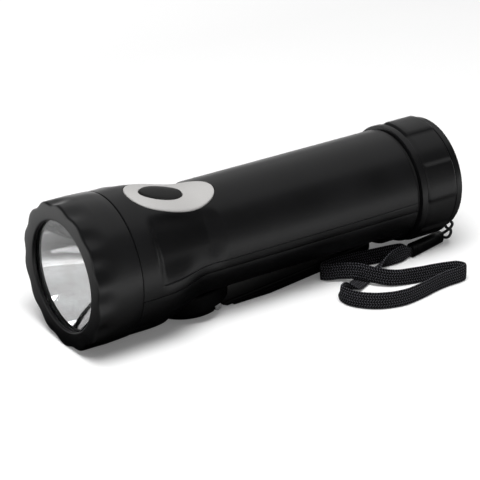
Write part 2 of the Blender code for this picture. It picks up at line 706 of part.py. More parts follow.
pin_end = CLEVIS_HALF_WIDTH + GAP
hinge_pin = turned("hinge_pin", [(0, -pin_end - PIN_HEAD_LENGTH), (PIN_HEAD_RADIUS, -pin_end - PIN_HEAD_LENGTH),
                                 (PIN_HEAD_RADIUS, -pin_end), (PIN_RADIUS, -pin_end), (PIN_RADIUS, pin_end),
                                 (PIN_HEAD_RADIUS, pin_end), (PIN_HEAD_RADIUS, pin_end + PIN_HEAD_LENGTH),
                                 (0, pin_end + PIN_HEAD_LENGTH)], 20)
place(hinge_pin, material("pin_steel", (0.8, 0.8, 0.8), 0.22, 1.0), hinge, rotation=(0, math.radians(90), 0))

SHAFT_END = PLATE_HIGH_TOP + 0.0006
crank_shaft = rod("crank_shaft", SHAFT_RADIUS, SHAFT_FOOT, DRIVE_TOP + 0.0010, 24)
boolean(crank_shaft, rod("shaft_tip", SHAFT_RADIUS * 0.6, DRIVE_TOP, SHAFT_END, 20), "UNION", crank)
place(crank_shaft, material("shaft_steel", STEEL, 0.3, 1.0), crank)

# Bush between the hub and the bay's ceiling; its hole goes through the shell
BUSH_RADIUS = SHAFT_RADIUS + RUNNING / 2 + BUSH_WALL
BUSH_LOW = HUB_TOP + GAP
BUSH_TOP = PLATE_LOW - GAP
shaft_bush = turned("shaft_bush", [(SHAFT_RADIUS + GAP, BUSH_LOW), (BUSH_RADIUS, BUSH_LOW),
                                   (BUSH_RADIUS, BUSH_TOP), (SHAFT_RADIUS + GAP, BUSH_TOP)], 24)
place(shaft_bush, material("bush_brass", BRASS, 0.35, 1.0), crank)
boolean(lower_shell, rod("bush_hole", BUSH_RADIUS + GAP, HUB_BOTTOM, PLATE_LOW + PLATE_GAUGE, 28), "DIFFERENCE",
        crank)

# Crank arm, folded along the barrel with its knob inside the bay
ARM_UNDER = ARM_THICKNESS - ARM_TOP
GROUND = PIN_ABOVE_GROUND


def arm_underside(t):
    """How far the arm's underside lies below the pin, so that it rests flat on the ground."""
    if t < ARM_HEEL - 0.0010:
        return KNUCKLE_RADIUS
    ground = (GROUND + t * math.sin(TILT)) / math.cos(TILT)
    return min(ground, ARM_UNDER)


def arm_half_width(t):
    width = blend(ARM_HALF_WIDTH, ARM_END_HALF_WIDTH, ease((t - ARM_HEEL) / (ARM_LENGTH - ARM_HEEL)))
    left = ARM_LENGTH - t
    if left < ARM_END_HALF_WIDTH:
        width *= math.sqrt(max(1 - ((ARM_END_HALF_WIDTH - left) / ARM_END_HALF_WIDTH) ** 2, 0.02))
    return width


ARM_EDGE = 0.0008


def arm_ring(t):
    half, low, high, edge = arm_half_width(t), -arm_underside(t), ARM_TOP, ARM_EDGE
    edge = min(edge, half / 3)
    return [(half, t, low + edge), (half, t, high - edge), (half - edge, t, high), (edge - half, t, high),
            (-half, t, high - edge), (-half, t, low + edge), (edge - half, t, low), (half - edge, t, low)]


meets_ground = (ARM_UNDER * math.cos(TILT) - GROUND) / math.sin(TILT)
arm_stations = [ARM_SHOULDER, ARM_HEEL - 0.0011, ARM_HEEL, meets_ground]
arm_stations += [blend(meets_ground, ARM_LENGTH - ARM_END_HALF_WIDTH, share) for share in (0.33, 0.66, 1)]
arm_stations += [ARM_LENGTH - ARM_END_HALF_WIDTH * (1 - math.sin(math.radians(a))) for a in (20, 40, 60, 78, 90)]
crank_arm = grid_solid("crank_arm", [arm_ring(t) for t in arm_stations])
TONGUE_HALF_WIDTH = SLOT_HALF_WIDTH - GAP
tongue_side = [(KNUCKLE_RADIUS * math.cos(math.radians(a)), KNUCKLE_RADIUS * math.sin(math.radians(a)))
               for a in (90, 112.5, 135, 157.5, 180, 202.5, 225, 247.5, 270)]
tongue_side += [(ARM_SHOULDER + 0.0004, -KNUCKLE_RADIUS), (ARM_SHOULDER + 0.0004, ARM_TOP - 0.0002)]
boolean(crank_arm, side_solid("arm_tongue", tongue_side, TONGUE_HALF_WIDTH), "UNION", hinge)
boolean(crank_arm, rod("arm_pin_hole", PIN_RADIUS + GAP, -HUB_RADIUS, HUB_RADIUS, 20, (0, 0), "X"),
        "DIFFERENCE", hinge)
place(crank_arm, black_plastic("arm_plastic"), hinge)

KNOB_AT = ARM_LENGTH - KNOB_FROM_END
ceiling_over_knob = (HUB_DROP - BAY_HEIGHT - (PIN_BEHIND_HUB + KNOB_AT) * math.sin(TILT)) / math.cos(TILT)
KNOB_TOP = ceiling_over_knob - KNOB_UNDER_CEILING - KNOB_RADIUS * math.sin(TILT)
KNOB_LOW = ARM_TOP - KNOB_RECESS + GAP
knob_frame = empty("knob_frame", (0, KNOB_AT, 0), hinge)
boolean(crank_arm, rod("knob_recess", KNOB_RADIUS + RUNNING, ARM_TOP - KNOB_RECESS, ARM_TOP + 0.005, 28,
                       (0, KNOB_AT)), "DIFFERENCE", hinge)
boolean(crank_arm, rod("knob_axle_hole", KNOB_AXLE_RADIUS + GAP, -ARM_THICKNESS * 2, ARM_THICKNESS, 20,
                       (0, KNOB_AT)), "DIFFERENCE", hinge)
AXLE_HEAD = 0.0008
axle_low = -ARM_UNDER + GAP
axle_head_radius = KNOB_AXLE_RADIUS + 0.0010
boolean(crank_arm, rod("knob_axle_head_seat", axle_head_radius + GAP, -ARM_THICKNESS * 2,
                       axle_low + AXLE_HEAD + GAP, 20, (0, KNOB_AT)), "DIFFERENCE", hinge)
KNOB_CAP = 0.0012
knob_axle = turned("knob_axle", [(0, axle_low), (axle_head_radius, axle_low), (axle_head_radius, axle_low + AXLE_HEAD),
                                 (KNOB_AXLE_RADIUS, axle_low + AXLE_HEAD), (KNOB_AXLE_RADIUS, KNOB_TOP - KNOB_CAP),
                                 (0, KNOB_TOP - KNOB_CAP)], 20)
place(knob_axle, material("axle_steel", STEEL, 0.3, 1.0), knob_frame)
knob_bore = KNOB_AXLE_RADIUS + GAP
crank_knob = turned("crank_knob", [(knob_bore, KNOB_LOW), (KNOB_RADIUS * 0.92, KNOB_LOW), (KNOB_RADIUS, KNOB_LOW + 0.0008),
                                   (KNOB_RADIUS * 0.86, (KNOB_LOW + KNOB_TOP) / 2), (KNOB_RADIUS, KNOB_TOP - 0.0012),
                                   (KNOB_RADIUS * 0.8, KNOB_TOP), (0, KNOB_TOP), (0, KNOB_TOP - KNOB_CAP + GAP),
                                   (knob_bore, KNOB_TOP - KNOB_CAP + GAP)], 28)
place(crank_knob, black_plastic("knob_plastic"), knob_frame)


# Gear train between two plates, in the crank's frame
def gear_outline(teeth, phase=0.0):
    """Trapezoid teeth round a pitch circle, a little thin so that meshed teeth run free."""
    pitch = TOOTH_MODULE * teeth / 2
    tip, root = pitch + 0.72 * TOOTH_MODULE, pitch - 1.05 * TOOTH_MODULE
    step = math.tau / teeth
    points = []
    for i in range(teeth):
        middle = phase + i * step
        for offset, radius in ((-0.34, root), (-0.11, tip), (0.11, tip), (0.34, root)):
            angle = middle + offset * step
            points.append((radius * math.cos(angle), radius * math.sin(angle)))
    return points


def gear(name, teeth, low, high, bore, phase=0.0):
    return outline_solid(name, [gear_outline(teeth, phase), circle(bore, 20)], low, high)


UP = math.pi / 2              # direction towards the tail in the gears' plane
drive_bore = SHAFT_RADIUS + GAP
drive_gear = gear("drive_gear", DRIVE_TEETH, DRIVE_LOW, DRIVE_TOP, drive_bore, UP)
place(drive_gear, material("drive_gear_nylon", WHITE, 0.45), crank)


def mesh_phase(teeth):
    """A tooth gap faces the gear in front, whose tooth points this way."""
    return -UP + math.pi / teeth


def compound_gear(name, wheel_low, pinion_low, pinion_top, at, mat):
    """A wheel with its pinion, which reaches down to the gear in front."""
    frame = empty(name + "_frame", (0, at, 0), crank)
    axle_bore = AXLE_RADIUS + GAP
    obj = gear(name, WHEEL_TEETH, wheel_low, wheel_low + WHEEL_FACE, axle_bore, UP)
    pinion = gear(name + "_pinion", PINION_TEETH, pinion_low, pinion_top, axle_bore, mesh_phase(PINION_TEETH))
    boolean(obj, pinion, "UNION", frame)
    return place(obj, mat, frame)


compound_gear("idler_gear_one", WHEEL_ONE_LOW, DRIVE_LOW, WHEEL_ONE_LOW + 0.0001, ONE_AT,
              material("idler_nylon", WHITE, 0.45))
compound_gear("idler_gear_two", WHEEL_TWO_LOW, WHEEL_ONE_LOW, WHEEL_TWO_LOW + 0.0001, TWO_AT,
              material("idler_nylon_two", WHITE, 0.45))

rotor = empty("rotor_frame", (0, ROTOR_AT, 0), crank)
pinion_bore = ROTOR_SHAFT_RADIUS + GAP
rotor_pinion = gear("rotor_pinion", PINION_TEETH, WHEEL_TWO_LOW, WHEEL_TWO_TOP, pinion_bore,
                    mesh_phase(PINION_TEETH))
place(rotor_pinion, material("pinion_brass", BRASS, 0.3, 1.0), rotor)
ROTOR_LOW = PLATE_LOW_TOP + 2 * GAP
rotor_shaft = rod("rotor_shaft", ROTOR_SHAFT_RADIUS, ROTOR_LOW, CAN_TOP - CAN_WALL - GAP, 16)
place(rotor_shaft, material("rotor_steel", STEEL, 0.3, 1.0), rotor)
MAGNET_LOW = CAN_LOW + 0.0012
MAGNET_TOP = CAN_TOP - CAN_WALL - 0.0010
magnet = turned("rotor_magnet", [(pinion_bore, MAGNET_LOW), (MAGNET_RADIUS, MAGNET_LOW), (MAGNET_RADIUS, MAGNET_TOP),
                                 (pinion_bore, MAGNET_TOP)], 28)
place(magnet, material("magnet_ferrite", (0.06, 0.06, 0.065), 0.5), rotor)

# Plates, posts and axles
PLATE_FRONT = -0.0080
PLATE_BACK = ROTOR_AT + CAN_RADIUS * 0.75
POST_NEAR = (ONE_AT + TWO_AT) / 2
POST_FAR = ROTOR_AT + 0.0050
POSTS = [(side * GEAR_PLATE_WIDTH / 2 * reach, along) for along, reach in ((POST_NEAR, 0.84), (POST_FAR, 0.80))
         for side in (-1, 1)]


def plate_shape(name, low, high, holes):
    half = GEAR_PLATE_WIDTH / 2
    corner = 0.0040
    outline = [(half, PLATE_FRONT + corner), (half, PLATE_BACK - corner), (half - corner, PLATE_BACK),
               (corner - half, PLATE_BACK), (-half, PLATE_BACK - corner), (-half, PLATE_FRONT + corner),
               (corner - half, PLATE_FRONT), (half - corner, PLATE_FRONT)]
    return outline_solid(name, [outline] + [circle(r, 16, centre) for r, centre in holes], low, high)


axle_hole = AXLE_RADIUS + GAP
gear_plate_lower = plate_shape("gear_plate_lower", PLATE_LOW, PLATE_LOW_TOP,
                               [(SHAFT_RADIUS + GAP, (0, 0)), (axle_hole, (0, ONE_AT)), (axle_hole, (0, TWO_AT))])
place(gear_plate_lower, material("plate_steel", STEEL, 0.4, 1.0), crank)
gear_plate_upper = plate_shape("gear_plate_upper", PLATE_HIGH, PLATE_HIGH_TOP,
                               [(SHAFT_RADIUS * 0.6 + GAP, (0, 0)), (axle_hole, (0, ONE_AT)), (axle_hole, (0, TWO_AT)),
                                (pinion_bore, (0, ROTOR_AT))])
place(gear_plate_upper, material("plate_steel_two", STEEL, 0.4, 1.0), crank)


for post_name, at in zip(("middle_right", "middle_left", "rear_right", "rear_left"), POSTS):
    post = rod("gear_post_" + post_name, POST_RADIUS, PLATE_LOW_TOP + GAP, PLATE_HIGH - GAP, 12, at)
    place(post, material("post_brass_" + post_name, BRASS, 0.35, 1.0), crank)
for number, at in (("one", ONE_AT), ("two", TWO_AT)):
    axle = rod("idler_axle_" + number, AXLE_RADIUS, PLATE_LOW, PLATE_HIGH_TOP, 14, (0, at))
    place(axle, material("axle_steel_" + number, STEEL, 0.3, 1.0), crank)

# Bosses that carry the lower plate on the bay's ceiling
BOSS_TOP = PLATE_LOW - GAP
boss_foot = BAY_HEIGHT - WALL / 2
for index, (x, along) in enumerate(POSTS):
    foot = (HUB_DROP - boss_foot - along * math.sin(TILT)) / math.cos(TILT)
    boolean(lower_shell, rod("plate_boss_%d" % index, POST_RADIUS + 0.0006, foot, BOSS_TOP, 12, (x, along)), "UNION",
            crank)

# Generator on the upper plate
can = turned("generator_case", [(CAN_RADIUS - CAN_WALL, CAN_LOW), (CAN_RADIUS, CAN_LOW), (CAN_RADIUS, CAN_TOP),
                                (0, CAN_TOP), (0, CAN_TOP - CAN_WALL), (CAN_RADIUS - CAN_WALL, CAN_TOP - CAN_WALL)], 32)
place(can, material("case_zinc", (0.6, 0.6, 0.6), 0.35, 1.0), rotor)
COIL_RADIUS = CAN_RADIUS - CAN_WALL - GAP
coil = turned("generator_coil", [(COIL_RADIUS - COIL_WALL, CAN_LOW + GAP), (COIL_RADIUS, CAN_LOW + GAP),
                                 (COIL_RADIUS, MAGNET_TOP), (COIL_RADIUS - COIL_WALL, MAGNET_TOP)], 28)
place(coil, material("coil_copper", (0.55, 0.22, 0.09), 0.4, 1.0), rotor)

# Rechargeable cell in a cradle behind the generator
CAP_FACE = GRIP_END - CAP_FLOOR
CELL_END = CAP_FACE - CELL_FROM_CAP - 0.0120
CELL_START = CELL_END - CELL_LENGTH
cell_mid = (0, CELL_ABOVE_AXIS)
battery = rod("battery", CELL_RADIUS, CELL_START, CELL_END, 28, cell_mid, "Y")
boolean(battery, rod("cell_button", CELL_RADIUS * 0.4, CELL_END - 0.0002, CELL_END + 0.0010, 16, cell_mid, "Y"),
        "UNION")
place(battery, material("cell_sleeve", (0.05, 0.22, 0.10), 0.35))
CRADLE_HALF = CELL_RADIUS * 0.86
cradle = block("battery_holder", (-CRADLE_HALF, CELL_START + 0.0020, -BAY_HEIGHT + WALL + GAP),
               (CRADLE_HALF, CELL_END - 0.0100, CELL_ABOVE_AXIS - 0.0030))
boolean(cradle, rod("cell_space", CELL_RADIUS + GAP, CELL_START - 0.01, CELL_END + 0.01, 28, cell_mid, "Y"),
        "DIFFERENCE")
place(cradle, material("cradle_plastic", WHITE, 0.5))

# Tail cap, its seal, and the spring that presses on the cell
CAP_INNER = INNER_RADIUS - 3 * GAP
SPIGOT_BORE = CAP_INNER - 0.0018


def cap_ring(radius, station, share, sides=50):
    """The cap's section: raised grips with shallow scallops between them."""
    ring = []
    for i in range(sides):
        angle = math.tau * i / sides
        wave = 0.5 - 0.5 * math.cos(CAP_GRIPS * angle)
        scallop = ease((wave - 0.35) / 0.3)
        r = radius - CAP_SCALLOP * share * scallop
        ring.append((r * math.sin(angle), station, r * math.cos(angle)))
    return ring


cap_profile = [
    (0.0, CAP_FACE, 0), (SPIGOT_BORE, CAP_FACE, 0), (SPIGOT_BORE, CAP_START - CAP_SPIGOT_LENGTH, 0),
    (CAP_INNER, CAP_START - CAP_SPIGOT_LENGTH, 0), (CAP_INNER, CAP_START, 0),
    (CAP_COLLAR_RADIUS, CAP_START, 0), (CAP_COLLAR_RADIUS, GRIP_START, 0),
    (CAP_GRIP_RADIUS, GRIP_START + 0.0008, 1), (CAP_GRIP_RADIUS, GRIP_END - 0.0006, 1),
    (CAP_RIM_RADIUS, GRIP_END, 0), (CAP_RIM_RADIUS, TOTAL_LENGTH - 0.0004, 0),
    (CAP_RIM_RADIUS - 0.0004, TOTAL_LENGTH, 0), (CAP_RIM_RADIUS - CAP_RIM_WALL, TOTAL_LENGTH, 0),
    (CAP_RIM_RADIUS - CAP_RIM_WALL, GRIP_END, 0), (0.0, GRIP_END, 0),
]
tail_cap = grid_solid("tail_cap", [cap_ring(*point) for point in cap_profile])
place(tail_cap, black_plastic("cap_plastic"))
STRAP_ANGLE = math.radians(41)
hole_station = GRIP_END + (TOTAL_LENGTH - GRIP_END) * 0.45
HOLE_RADIUS = STRING_DIAMETER / 2 + GAP
string_hole = rod("string_hole", HOLE_RADIUS, CAP_RIM_RADIUS - 2 * CAP_RIM_WALL, CAP_RIM_RADIUS + 0.002, 14)
boolean(tail_cap, string_hole, "DIFFERENCE", None, (0, hole_station, 0), (0, math.pi - STRAP_ANGLE, 0))

seal_length = CAP_START - BARREL_END - 2 * GAP
tail_seal = turned("tail_seal", [(CAP_INNER + GAP, BARREL_END + GAP), (BARREL_RADIUS - 0.0005, BARREL_END + GAP),
                                 (BARREL_RADIUS - 0.0005, BARREL_END + GAP + seal_length),
                                 (CAP_INNER + GAP, BARREL_END + GAP + seal_length)], 40)
place(tail_seal, material("tail_seal_rubber", (0.02, 0.02, 0.02), 0.8), rotation=ALONG_BARREL)


def coil_spring(name, start, end, first_radius, last_radius, wire, turns, centre):
    """A conical wire spring along the barrel."""
    curve = bpy.data.curves.new(name, "CURVE")
    curve.dimensions = "3D"
    curve.bevel_depth = wire / 2
    curve.bevel_resolution = 1
    curve.use_fill_caps = True
    steps = 7 * turns
    spline = curve.splines.new("POLY")
    spline.points.add(steps)
    for i, point in enumerate(spline.points):
        share = i / steps
        angle = math.tau * turns * share
        radius = blend(first_radius, last_radius, share)
        point.co = (centre[0] + radius * math.cos(angle), blend(start, end, share),
                    centre[1] + radius * math.sin(angle), 1)
    return bpy.data.objects.new(name, curve)


spring_wire = 0.0007
spring = coil_spring("battery_spring", CELL_END + 0.0010 + GAP + spring_wire / 2, CAP_FACE - GAP - spring_wire / 2,
                     CELL_RADIUS * 0.4, CELL_RADIUS * 0.75, spring_wire, 4, cell_mid)
place(spring, material("spring_steel", STEEL, 0.25, 1.0))

# Switch plate, button and the board under it
SURFACE_STEPS = 11


def saddle_block(name, top_offset, bottom_offset):
    """A slab that follows the saddle's surface, offset from it above and below."""
    rings = []
    for i in range(SURFACE_STEPS + 1):
        s = blend(PLATE_START - 0.002, PLATE_START + PLATE_LENGTH + 0.002, i / SURFACE_STEPS)
        arc = [math.radians(a) for a in range(-42, 43, 7)]
        top = [((upper_radius(s, a) + top_offset) * math.sin(a), s, (upper_radius(s, a) + top_offset) * math.cos(a))
               for a in arc]
        low = [((upper_radius(s, a) + bottom_offset) * math.sin(a), s,
                (upper_radius(s, a) + bottom_offset) * math.cos(a)) for a in arc[::-1]]
        rings.append(top + low)
    return grid_solid(name, rings)


def saddle_height(x, s):
    """Height of the saddle's surface over the axis."""
    angle = 0.0
    for _ in range(8):
        angle = math.asin(x / upper_radius(s, angle))
    return upper_radius(s, angle) * math.cos(angle)


def oval_loft(name, levels):
    """Ovals stacked on the saddle: (scale, growth, height over the surface) each."""
    rings = []
    for scale, growth, height in levels:
        points = oval((BUTTON_LENGTH + growth) * scale, (BUTTON_WIDTH + growth) * scale, BUTTON_STATION)
        rings.append([(x, s, saddle_height(x, s) + height) for x, s in points])
    return grid_solid(name, rings)


switch_plate = saddle_block("switch_plate", PLATE_RISE, PLATE_RISE - PLATE_THICKNESS)
boolean(switch_plate, outline_solid("plate_trim", [plate_outline(0)], 0, 2 * HEAD_RADIUS), "INTERSECT", saddle)
button_hole = outline_solid("button_hole", [oval(BUTTON_LENGTH + 2 * GAP, BUTTON_WIDTH + 2 * GAP, BUTTON_STATION)],
                            BUTTON_WIDTH / 2, 2 * HEAD_RADIUS)
boolean(switch_plate, button_hole, "DIFFERENCE", saddle)
place(switch_plate, material("plate_silver", (0.62, 0.62, 0.63), 0.32, 0.6), saddle)

recess = saddle_block("plate_recess", HEAD_RADIUS / 4, PLATE_RISE - PLATE_THICKNESS - GAP)
boolean(recess, outline_solid("recess_trim", [plate_outline(GAP)], 0, 2 * HEAD_RADIUS), "INTERSECT", saddle)
boolean(upper_shell, recess, "DIFFERENCE", saddle)
boolean(upper_shell, button_hole, "DIFFERENCE", saddle)

BUTTON_HEIGHT = top_radius(BUTTON_STATION)
button_frame = empty("button_frame", (0, BUTTON_STATION, BUTTON_HEIGHT), saddle)
FLANGE_THICKNESS = 0.0010
FLANGE_WIDTH = 0.0012
FLANGE_TOP = -WALL - GAP
flange_top_level = FLANGE_TOP - 0.0002
switch_button = oval_loft("switch_button", [
    (0.3, 0, FLANGE_TOP - FLANGE_THICKNESS), (1, 2 * FLANGE_WIDTH, FLANGE_TOP - FLANGE_THICKNESS),
    (1, 2 * FLANGE_WIDTH, flange_top_level), (1, 0, flange_top_level), (1, 0, BUTTON_DOME * 0.3),
    (0.94, 0, BUTTON_DOME * 0.72), (0.80, 0, BUTTON_DOME), (0.50, 0, BUTTON_DOME * 1.25),
    (0.2, 0, BUTTON_DOME * 1.35)])
place(switch_button, material("button_rubber", (0.035, 0.035, 0.036), 0.6), button_frame,
      (0, -BUTTON_STATION, -BUTTON_HEIGHT))

STEM_LENGTH = 0.0012
flange_low = BUTTON_HEIGHT + FLANGE_TOP - FLANGE_THICKNESS
boolean(switch_button, rod("button_stem", 0.0018, flange_low - STEM_LENGTH, flange_low + 0.0006, 16,
                           (0, BUTTON_STATION)), "UNION", saddle)
SWITCH_TOP = flange_low - STEM_LENGTH - BUTTON_TRAVEL - GAP
SWITCH_HEIGHT = 0.0030
BOARD_TOP = SWITCH_TOP - SWITCH_HEIGHT - GAP
tactile_switch = block("tactile_switch", (-0.003, BUTTON_STATION - 0.003, BOARD_TOP + GAP),
                       (0.003, BUTTON_STATION + 0.003, SWITCH_TOP - 0.0008))
boolean(tactile_switch, rod("switch_plunger", 0.0015, SWITCH_TOP - 0.0010, SWITCH_TOP, 14, (0, BUTTON_STATION)),
        "UNION", saddle)
place(tactile_switch, material("switch_black", (0.04, 0.04, 0.04), 0.4), saddle)
BOARD_START = BUTTON_STATION - 0.0060
control_board = block("control_board", (-BOARD_WIDTH / 2, BOARD_START, BOARD_TOP - BOARD_THICKNESS),
                      (BOARD_WIDTH / 2, BOARD_START + BOARD_LENGTH, BOARD_TOP))
place(control_board, material("control_board_green", (0.03, 0.16, 0.07), 0.45), saddle)

# Posts of the upper shell that carry the board, and the screws into them
BOARD_POSTS = [(side * (BOARD_WIDTH / 2 - 0.0021), BOARD_START + BOARD_LENGTH - 0.0030) for side in (-1, 1)]
BOARD_SCREW_LENGTH = 0.0022
for index, at in enumerate(BOARD_POSTS):
    post_top = math.sqrt((upper_radius(at[1], 0) - 0.75 * WALL) ** 2 - at[0] ** 2)
    boolean(upper_shell, rod("board_post_%d" % index, BOARD_POST_RADIUS, BOARD_TOP + GAP, post_top, 14, at), "UNION",
            saddle)
    boolean(upper_shell, rod("board_post_hole_%d" % index, SCREW_RADIUS * 0.8 + GAP, 0, BOARD_TOP + 0.0028, 12, at),
            "DIFFERENCE", saddle)
    boolean(control_board, rod("board_hole_%d" % index, SCREW_RADIUS * 0.8 + GAP, 0, 2 * HEAD_RADIUS, 12, at),
            "DIFFERENCE", saddle)


def screw(name, radius, head_radius, head_low, head_length, length, at):
    """A pan-head screw along Z, its head at the low end."""
    head = rod("screw_head", head_radius, head_low, head_low + head_length, 14, at)
    bm = bmesh.new()
    bm.from_mesh(head.data)
    bmesh.ops.delete(bm, geom=[face for face in bm.faces if face.calc_center_median().z > head_low + head_length * 0.9
                               and abs(face.normal.z) > 0.9], context="FACES_ONLY")
    bpy.data.objects.remove(head, do_unlink=True)
    rim = [edge for edge in bm.edges if edge.is_boundary]
    made = bmesh.ops.extrude_edge_only(bm, edges=rim)
    verts = [item for item in made["geom"] if isinstance(item, bmesh.types.BMVert)]
    for vert in verts:
        offset = Vector((vert.co.x - at[0], vert.co.y - at[1], 0)) * (radius / head_radius)
        vert.co = (at[0] + offset.x, at[1] + offset.y, head_low + head_length)
    rim = [edge for edge in bm.edges if edge.is_boundary]
    made = bmesh.ops.extrude_edge_only(bm, edges=rim)
    verts = [item for item in made["geom"] if isinstance(item, bmesh.types.BMVert)]
    bmesh.ops.translate(bm, vec=(0, 0, length), verts=verts)
    bmesh.ops.holes_fill(bm, edges=[edge for edge in bm.edges if edge.is_boundary], sides=0)
    return solid(name, bm)


board_head_low = BOARD_TOP - BOARD_THICKNESS - GAP - 0.0009
for side, at in zip(("right", "left"), BOARD_POSTS):
    board_screw = screw("board_screw_" + side, SCREW_RADIUS * 0.8, SCREW_RADIUS * 1.5, board_head_low, 0.0009,
                        BOARD_THICKNESS + GAP + BOARD_SCREW_LENGTH, at)
    place(board_screw, material("board_screw_steel_" + side, STEEL, 0.3, 1.0), saddle)

# Screws from the bay's ceiling into bosses of the upper shell
SHELL_BOSS_X = 0.0145
SHELL_BOSS_STATIONS = (CELL_START + 0.0030, BAY_REAR - 0.0045)
SHELL_SCREWS = [(side * SHELL_BOSS_X, s) for s in SHELL_BOSS_STATIONS for side in (-1, 1)]
shell_screw_length = BAY_HEIGHT - WALL + 0.0030
for index, at in enumerate(SHELL_SCREWS):
    boss_top = math.sqrt((BARREL_RADIUS - WALL / 2) ** 2 - (abs(at[0]) + BOSS_RADIUS) ** 2)
    boolean(upper_shell, rod("shell_boss_%d" % index, BOSS_RADIUS, GAP / 2, boss_top, 14, at), "UNION")
    boolean(upper_shell, rod("shell_boss_hole_%d" % index, SCREW_RADIUS + GAP, -0.001, 0.0045, 12, at), "DIFFERENCE")
    boolean(lower_shell, rod("shell_post_%d" % index, BOSS_RADIUS, -BAY_HEIGHT + WALL / 2, -GAP / 2, 14, at), "UNION")
    boolean(lower_shell, rod("screw_way_%d" % index, SCREW_RADIUS + GAP, -HEAD_RADIUS, 0.001, 12, at), "DIFFERENCE")
    boolean(lower_shell, rod("screw_head_way_%d" % index, SCREW_HEAD_RADIUS + GAP, -HEAD_RADIUS,
                             -BAY_HEIGHT + 0.0012, 14, at), "DIFFERENCE")
for screw_name, at in zip(("front_right", "front_left", "rear_right", "rear_left"), SHELL_SCREWS):
    shell_screw = screw("shell_screw_" + screw_name, SCREW_RADIUS, SCREW_HEAD_RADIUS,
                        -BAY_HEIGHT + 0.0012 - GAP - 0.0009, 0.0009, shell_screw_length, at)
    place(shell_screw, material("shell_screw_steel_" + screw_name, (0.1, 0.1, 0.1), 0.35, 1.0))


# Wrist strap: a thin string through the cap's rim, a moulded sleeve and a loop of flat tape
def smooth_route(points, spacing):
    """Points at an even spacing on a smooth curve through the route's own; a fourth value rides along."""
    vectors = [Vector(point) for point in points]
    fine = []
    for i in range(len(vectors) - 1):
        p0 = vectors[max(i - 1, 0)]
        p1, p2 = vectors[i], vectors[i + 1]
        p3 = vectors[min(i + 2, len(vectors) - 1)]
        for k in range(12):
            t = k / 12
            fine.append(0.5 * (2 * p1 + (p2 - p0) * t + (2 * p0 - 5 * p1 + 4 * p2 - p3) * t * t
                               + (3 * p1 - p0 - 3 * p2 + p3) * t ** 3))
    fine.append(vectors[-1])
    lengths = [0.0]
    for a, b in zip(fine, fine[1:]):
        lengths.append(lengths[-1] + (b.xyz - a.xyz).length)
    count = max(round(lengths[-1] / spacing), 2)
    route, k = [], 0
    for i in range(count + 1):
        want = lengths[-1] * i / count
        while k < len(lengths) - 2 and lengths[k + 1] < want:
            k += 1
        share = (want - lengths[k]) / max(lengths[k + 1] - lengths[k], MERGE / 100)
        route.append(fine[k].lerp(fine[k + 1], min(share, 1.0)))
    return route


TAPE_SPACING = 0.0042
TAPE_HEIGHT = TAPE_WIDTH / 2 + GAP
# (x, distance ahead of the tail, lift, lean): lean lays the standing tape flat where it is crossed
TAPE_ROUTE = [
    (0.0123, 0.0154, -0.0007, 0), (0.0130, 0.0188, -0.0007, 0), (0.0128, 0.0220, -0.0004, 0),
    (0.0124, 0.0249, 0.0002, 0), (0.0112, 0.0319, 0.0001, 0), (0.0100, 0.0379, 0, 0), (0.0092, 0.0449, 0, 0),
    (0.0087, 0.0529, 0, 0), (0.0091, 0.0589, 0, 0), (0.0108, 0.0611, 0, 0), (0.0128, 0.0591, 0.0004, 0),
    (0.0158, 0.0553, 0.0012, 0), (0.0206, 0.0504, 0.0018, 0), (0.0262, 0.0461, 0.0012, 0),
    (0.0308, 0.0404, 0.0003, 0), (0.0334, 0.0319, 0, 0), (0.0354, 0.0223, 0, 0), (0.0374, 0.0157, 0, 0),
    (0.0396, 0.0123, 0, 0), (0.0424, 0.0127, 0, 0), (0.0430, 0.0169, 0, 0), (0.0430, 0.0224, 0, 0),
    (0.0440, 0.0294, 0, 0), (0.0456, 0.0365, 0, 0), (0.0466, 0.0464, 0, 0), (0.0442, 0.0553, 0, 0),
    (0.0396, 0.0615, 0, 0), (0.0342, 0.0647, 0, 0), (0.0302, 0.0651, 0, 0), (0.0276, 0.0633, 0, 10),
    (0.0262, 0.0599, -0.0012, 50), (0.0240, 0.0547, -0.0028, 86), (0.0212, 0.0487, -0.0029, 88),
    (0.0186, 0.0427, -0.0026, 80), (0.0168, 0.0359, -0.0008, 40), (0.0160, 0.0289, 0.0001, 6),
    (0.0153, 0.0239, 0.0001, 0), (0.0149, 0.0215, -0.0004, 0), (0.0143, 0.0188, -0.0007, 0),
    (0.0135, 0.0154, -0.0007, 0),
]


def flat_tape(name, route):
    """A strap on edge: a flat ribbon whose width stands up, leaning where the route says."""
    path = smooth_route([(x, TOTAL_LENGTH - ahead, TAPE_HEIGHT + lift - HEAD_RADIUS, math.radians(lean))
                         for x, ahead, lift, lean in route], TAPE_SPACING)
    curve = bpy.data.curves.new(name, "CURVE")
    curve.dimensions = "3D"
    curve.twist_mode = "Z_UP"
    curve.extrude = (TAPE_WIDTH - TAPE_THICKNESS) / 2
    curve.bevel_depth = TAPE_THICKNESS / 2
    curve.bevel_resolution = 1
    curve.use_fill_caps = True
    spline = curve.splines.new("POLY")
    spline.points.add(len(path) - 1)
    for i, (point, bend) in enumerate(zip(spline.points, path)):
        from_end = min(i, len(path) - 1 - i) * TAPE_SPACING
        point.co = (*bend.xyz, 1)
        point.tilt = bend.w
        point.radius = blend(TAPE_GATHER, 1, ease((from_end - GATHER_HELD) / GATHER_LENGTH))
    return bpy.data.objects.new(name, curve)


place(flat_tape("strap_tape", TAPE_ROUTE), material("tape_fabric", (0.015, 0.015, 0.016), 0.9))

